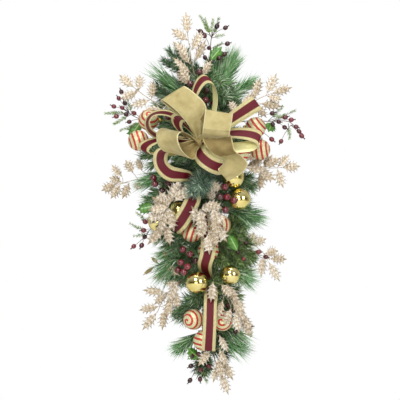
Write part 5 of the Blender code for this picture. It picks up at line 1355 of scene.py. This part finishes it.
# The berry picks carry dark rosehips with their dried crowns on thin brown twigs, with fine cedar
# sprigs and, on all but one, a bright holly leaf. A pick is (v, places, berries, tips of its sprigs, leaf).
PICKS = {
    "rosehip_pick_top": (84, [(206, 72, 40), (210, 56, 44), (211, 40, 46), (213, 31, 46)],
        [(217, 25.5, 46), (225.5, 27, 48), (204.5, 35, 52), (200.5, 30.5, 44), (227.5, 43, 50), (209, 47.5, 64),
         (219, 57.5, 56), (224.5, 53.5, 48), (205, 57, 50)],
        [(199.5, 15, 42), (205, 18, 50), (219, 17, 42), (213, 19, 46), (224, 34, 40), (222, 42, 44)],
        (222, 46, 60, 210, 60)),
    "rosehip_pick_left": (128, [(176, 126, 34), (150, 122, 34), (134, 116, 40), (124, 109, 46)],
        [(121, 91.5, 46), (118.5, 98, 52), (124.5, 102.5, 42), (113.5, 106, 46), (116, 116, 48),
         (126, 114, 62), (129, 121.5, 52), (134, 113, 66), (122, 107.5, 58)],
        [(105, 113, 42), (113, 124, 46), (127, 100, 36), (120, 130, 40)], (128, 139, 46)),
    "rosehip_pick_right": (130,
        [(228, 124, 36), (252, 120, 40), (268, 121, 46), (288, 121, 48), (298, 129, 46)],
        [(272.5, 113, 54), (273, 124, 60), (285.5, 117, 50), (291.5, 119.5, 56), (285, 127, 46),
         (296.5, 126.5, 52), (302, 135.5, 50), (272, 139, 50), (281.5, 141, 46), (279, 121.5, 54),
         (299.5, 131, 44)],
        [(296, 110, 42), (283, 106, 44), (290, 138, 42), (262, 138, 44)], (269, 131, 66)),
    "rosehip_pick_left_low": (226, [(184, 228, 44), (164, 228, 44), (150, 230, 48), (145, 238, 50)],
        [(145, 222, 54), (143.5, 230.5, 60), (144.5, 237, 42), (133.5, 246.5, 50), (141.5, 245.5, 58)],
        [(130, 224, 46), (136, 213, 44), (134, 236, 42)], (136, 209, 74, 155, 206)),
    "rosehip_pick_right_low": (246, [(228, 250, 46), (242, 250, 54), (252, 252, 56), (262, 258, 54)],
        [(246, 243, 72), (258.5, 252, 80), (266, 257, 78), (243.5, 259, 82), (238, 252, 76)],
        [(256, 262, 48), (252, 240, 46), (225, 234, 84), (231, 230, 80), (239, 236, 78), (228, 246, 86),
         (234, 254, 84), (224, 258, 86), (240, 264, 76), (229, 266, 84), (246, 270, 66)],
        (229, 233, 92, 238, 252)),
    "rosehip_pick_right_bottom": (304, [(224, 310, 44), (236, 322, 50), (246, 328, 52)],
        [(235.5, 331.5, 64), (250, 326.5, 54), (228, 306, 66), (231, 312, 56)],
        [(252, 336, 48), (243, 318, 46)], None),
    "rosehip_pick_bottom": (348, [(204, 356, 44), (200, 362, 50), (198, 374, 52)],
        [(192, 356.5, 56), (191, 366.5, 60), (201, 370.5, 66), (209, 367, 54), (190, 381, 56),
         (200, 380, 48), (198.5, 354.5, 64)],
        [(189, 359, 46), (207, 384, 46)], (188, 348, 66)),
}
ROSEHIP_RADIUS = 5.8 * MM
LEAFLET_SHOULDER, LEAFLET_LENGTH = 4.0 * MM, 10.0 * MM

rosehip_model = shape(bpy.ops.mesh.primitive_uv_sphere_add, segments=14, ring_count=10, radius=ROSEHIP_RADIUS)
for vertex in rosehip_model.data.vertices:
    height = vertex.co.z / ROSEHIP_RADIUS
    vertex.co.z *= 1.12
    if height > 0.4:
        vertex.co.x *= 1 + 0.25 * (height - 0.4)
        vertex.co.y *= 1 + 0.25 * (height - 0.4)
bpy.ops.object.shade_smooth()
spikes = []
for number in range(5):
    turn = 2 * math.pi * number / 5
    spike = shape(bpy.ops.mesh.primitive_cone_add, vertices=4, radius1=1.7 * MM, radius2=0.15 * MM,
                  depth=7.4 * MM)
    bpy.ops.object.mode_set(mode="EDIT")
    bpy.ops.transform.resize(value=(1.0, 0.35, 1.0))
    bpy.ops.transform.translate(value=(0.0, 0.0, 3.4 * MM))
    bpy.ops.transform.rotate(value=-math.radians(34), orient_axis="X", center_override=(0.0, 0.0, 0.0))
    bpy.ops.transform.translate(value=(0.0, 1.5 * MM, ROSEHIP_RADIUS * 0.98))
    bpy.ops.transform.rotate(value=turn, orient_axis="Z", center_override=(0.0, 0.0, 0.0))
    bpy.ops.object.mode_set(mode="OBJECT")
    spikes.append(spike)
# Painted foam rosehip: near-black maroon, redder where the paint is thin.
hip, tree, shader = surface("painted_rosehip", {"Roughness": 0.32, "Coat Weight": 0.5, "Coat Roughness": 0.2})
dress(tree, shader, berry_skin(tree, 230.0, (0.0, "#280E12"), (0.5, "#521A22"), (1.0, "#7E2E38")))
rosehip_model.data.materials.append(hip)
# The dried crown: matt black-brown paper.
crown = clouded("dried_calyx", {"Roughness": 0.8}, 400.0, 3.0, (0.3, "#2A1816"), (0.7, "#553430"))
for spike in spikes:
    spike.data.materials.append(crown)
rosehip_model = joined("rosehip_model", [rosehip_model] + spikes)

bright_leaf = leaf_model("bright_holly_leaf", 4, 0.72, 0.12, 0.04, 0.6 * MM, 1.55)
# Printed fabric leaf: fresh green with a paler midrib and a waxy face.
holly, tree, shader = surface("bright_fabric_holly", {"Roughness": 0.38, "Coat Weight": 0.2,
                                                      "Coat Roughness": 0.3})
tint = ramp(tree, clouds(tree, 90.0, 3.0), (0.3, "#386E22"), (0.55, "#52882C"), (0.8, "#6CA444"))
off_rib = calc(tree, "ABSOLUTE", calc(tree, "SUBTRACT", uv_of(tree)[0], 0.5))
dress(tree, shader, blend(tree, ramp(tree, off_rib, (0.02, "#FFFFFF"), (0.06, "#000000")), tint, "#9CC074"))
bright_leaf.data.materials.append(holly)

# A cedar leaflet is a flat pointed blade of soft plastic, paler at its tip.
leaflet = blade(4, 1.0 * MM, (1.0, 0.45, 1.0), (0.0, 0.0, LEAFLET_SHOULDER), (1.5, 1.2, 1.0),
                (0.0, 0.0, LEAFLET_LENGTH - LEAFLET_SHOULDER))
cedar, tree, shader = surface("grey_green_cedar", {"Roughness": 0.5})
green = ramp(tree, tone_of(tree), (0.0, "#3E5C26"), (0.5, "#688A42"), (1.0, "#98B66C"))
far = add(tree, "MapRange", {"Value": uv_of(tree)[1], "To Max": 0.4})
dress(tree, shader, blend(tree, far, green, "#B8CC92"))
leaflet.data.materials.append(cedar)

for name, (v, places, berries, ferns, leaf_tip) in PICKS.items():
    draw = random.Random(name)
    path, runs = main_stem(v, places, 1.6, 6, 36, 1.4, 0.8)
    spots, tones = [], []
    for place in berries:
        centre = at(*place)
        foot = berry_foot(path, centre, ROSEHIP_RADIUS)
        out = (centre - foot).normalized()
        bow = Vector((draw.uniform(-2, 2), draw.uniform(-1, 1), draw.uniform(0, 3))) * MM
        twig = smooth_path([foot, foot.lerp(centre, 0.55) + bow, centre], 10)
        runs.append((twig, taper(0.7 * MM, 0.5 * MM, len(twig))))
        spots.append(turned_to(centre, out, draw.uniform(0, FULL_TURN), draw.uniform(0.9, 1.05)))
        tones.append(draw.random())
    pieces = [copies_of(name + "_hips", rosehip_model, spots, tones)]
    if leaf_tip:
        foot, root, tip, lean, width = leaf_stand(path, leaf_tip[:3], 0.72, random.Random(PICK_LEAF_SEED),
                                                  False, leaf_tip[3:])
        pieces.append(copies_of(name + "_leaf", bright_leaf, [leaf_spot(root, tip, lean, width)], [0.5]))
        stalk = [foot, root, root.lerp(tip, 0.15)]
        runs.append((stalk, [0.7 * MM, 0.6 * MM, 0.4 * MM]))
    spots, tones = [], []
    for place in ferns:
        end = at(*place)
        index = min(max(nearest_on(path, end) - 1, 1), len(path) - 2)
        foot = path[index].lerp(path[index + 1], 0.3)
        along = (end - foot).normalized()
        reach = (end - foot).length
        bow = along.cross(Vector((0.0, -1.0, 0.0))) * draw.uniform(-3, 3) * MM
        sprig = smooth_path([foot, foot.lerp(end, 0.5) + bow, end], 14)
        runs.append((sprig, taper(0.8 * MM, 0.35 * MM, len(sprig))))
        side = along.cross(Vector((draw.uniform(-0.3, 0.3), -1.0, draw.uniform(-0.3, 0.3)))).normalized()
        pairs = int(reach * 0.72 / (3.2 * MM))
        for number in range(pairs):
            share = 0.30 + 0.70 * number / max(pairs - 1, 1)
            where = share * (len(sprig) - 1)
            low = min(int(where), len(sprig) - 2)
            base = sprig[low].lerp(sprig[low + 1], where - low)
            for sign in (1, -1):
                lean = math.radians(draw.uniform(36, 54))
                way = (along * math.cos(lean) + side * sign * math.sin(lean)
                       + Vector((0.0, draw.uniform(-0.25, 0.1), 0.0))).normalized()
                length = (11.5 - 6.0 * share) * MM * draw.uniform(0.85, 1.15)
                spots.append(pointed_at(base, way, draw.uniform(0, FULL_TURN), length, LEAFLET_LENGTH))
                tones.append(draw.random())
    if spots:
        pieces.append(copies_of(name + "_cedar", leaflet, spots, tones))
    finish_plant(name, "pick", pieces, runs, bark)
for model in (rosehip_model, bright_leaf, leaflet):
    bpy.data.objects.remove(model)
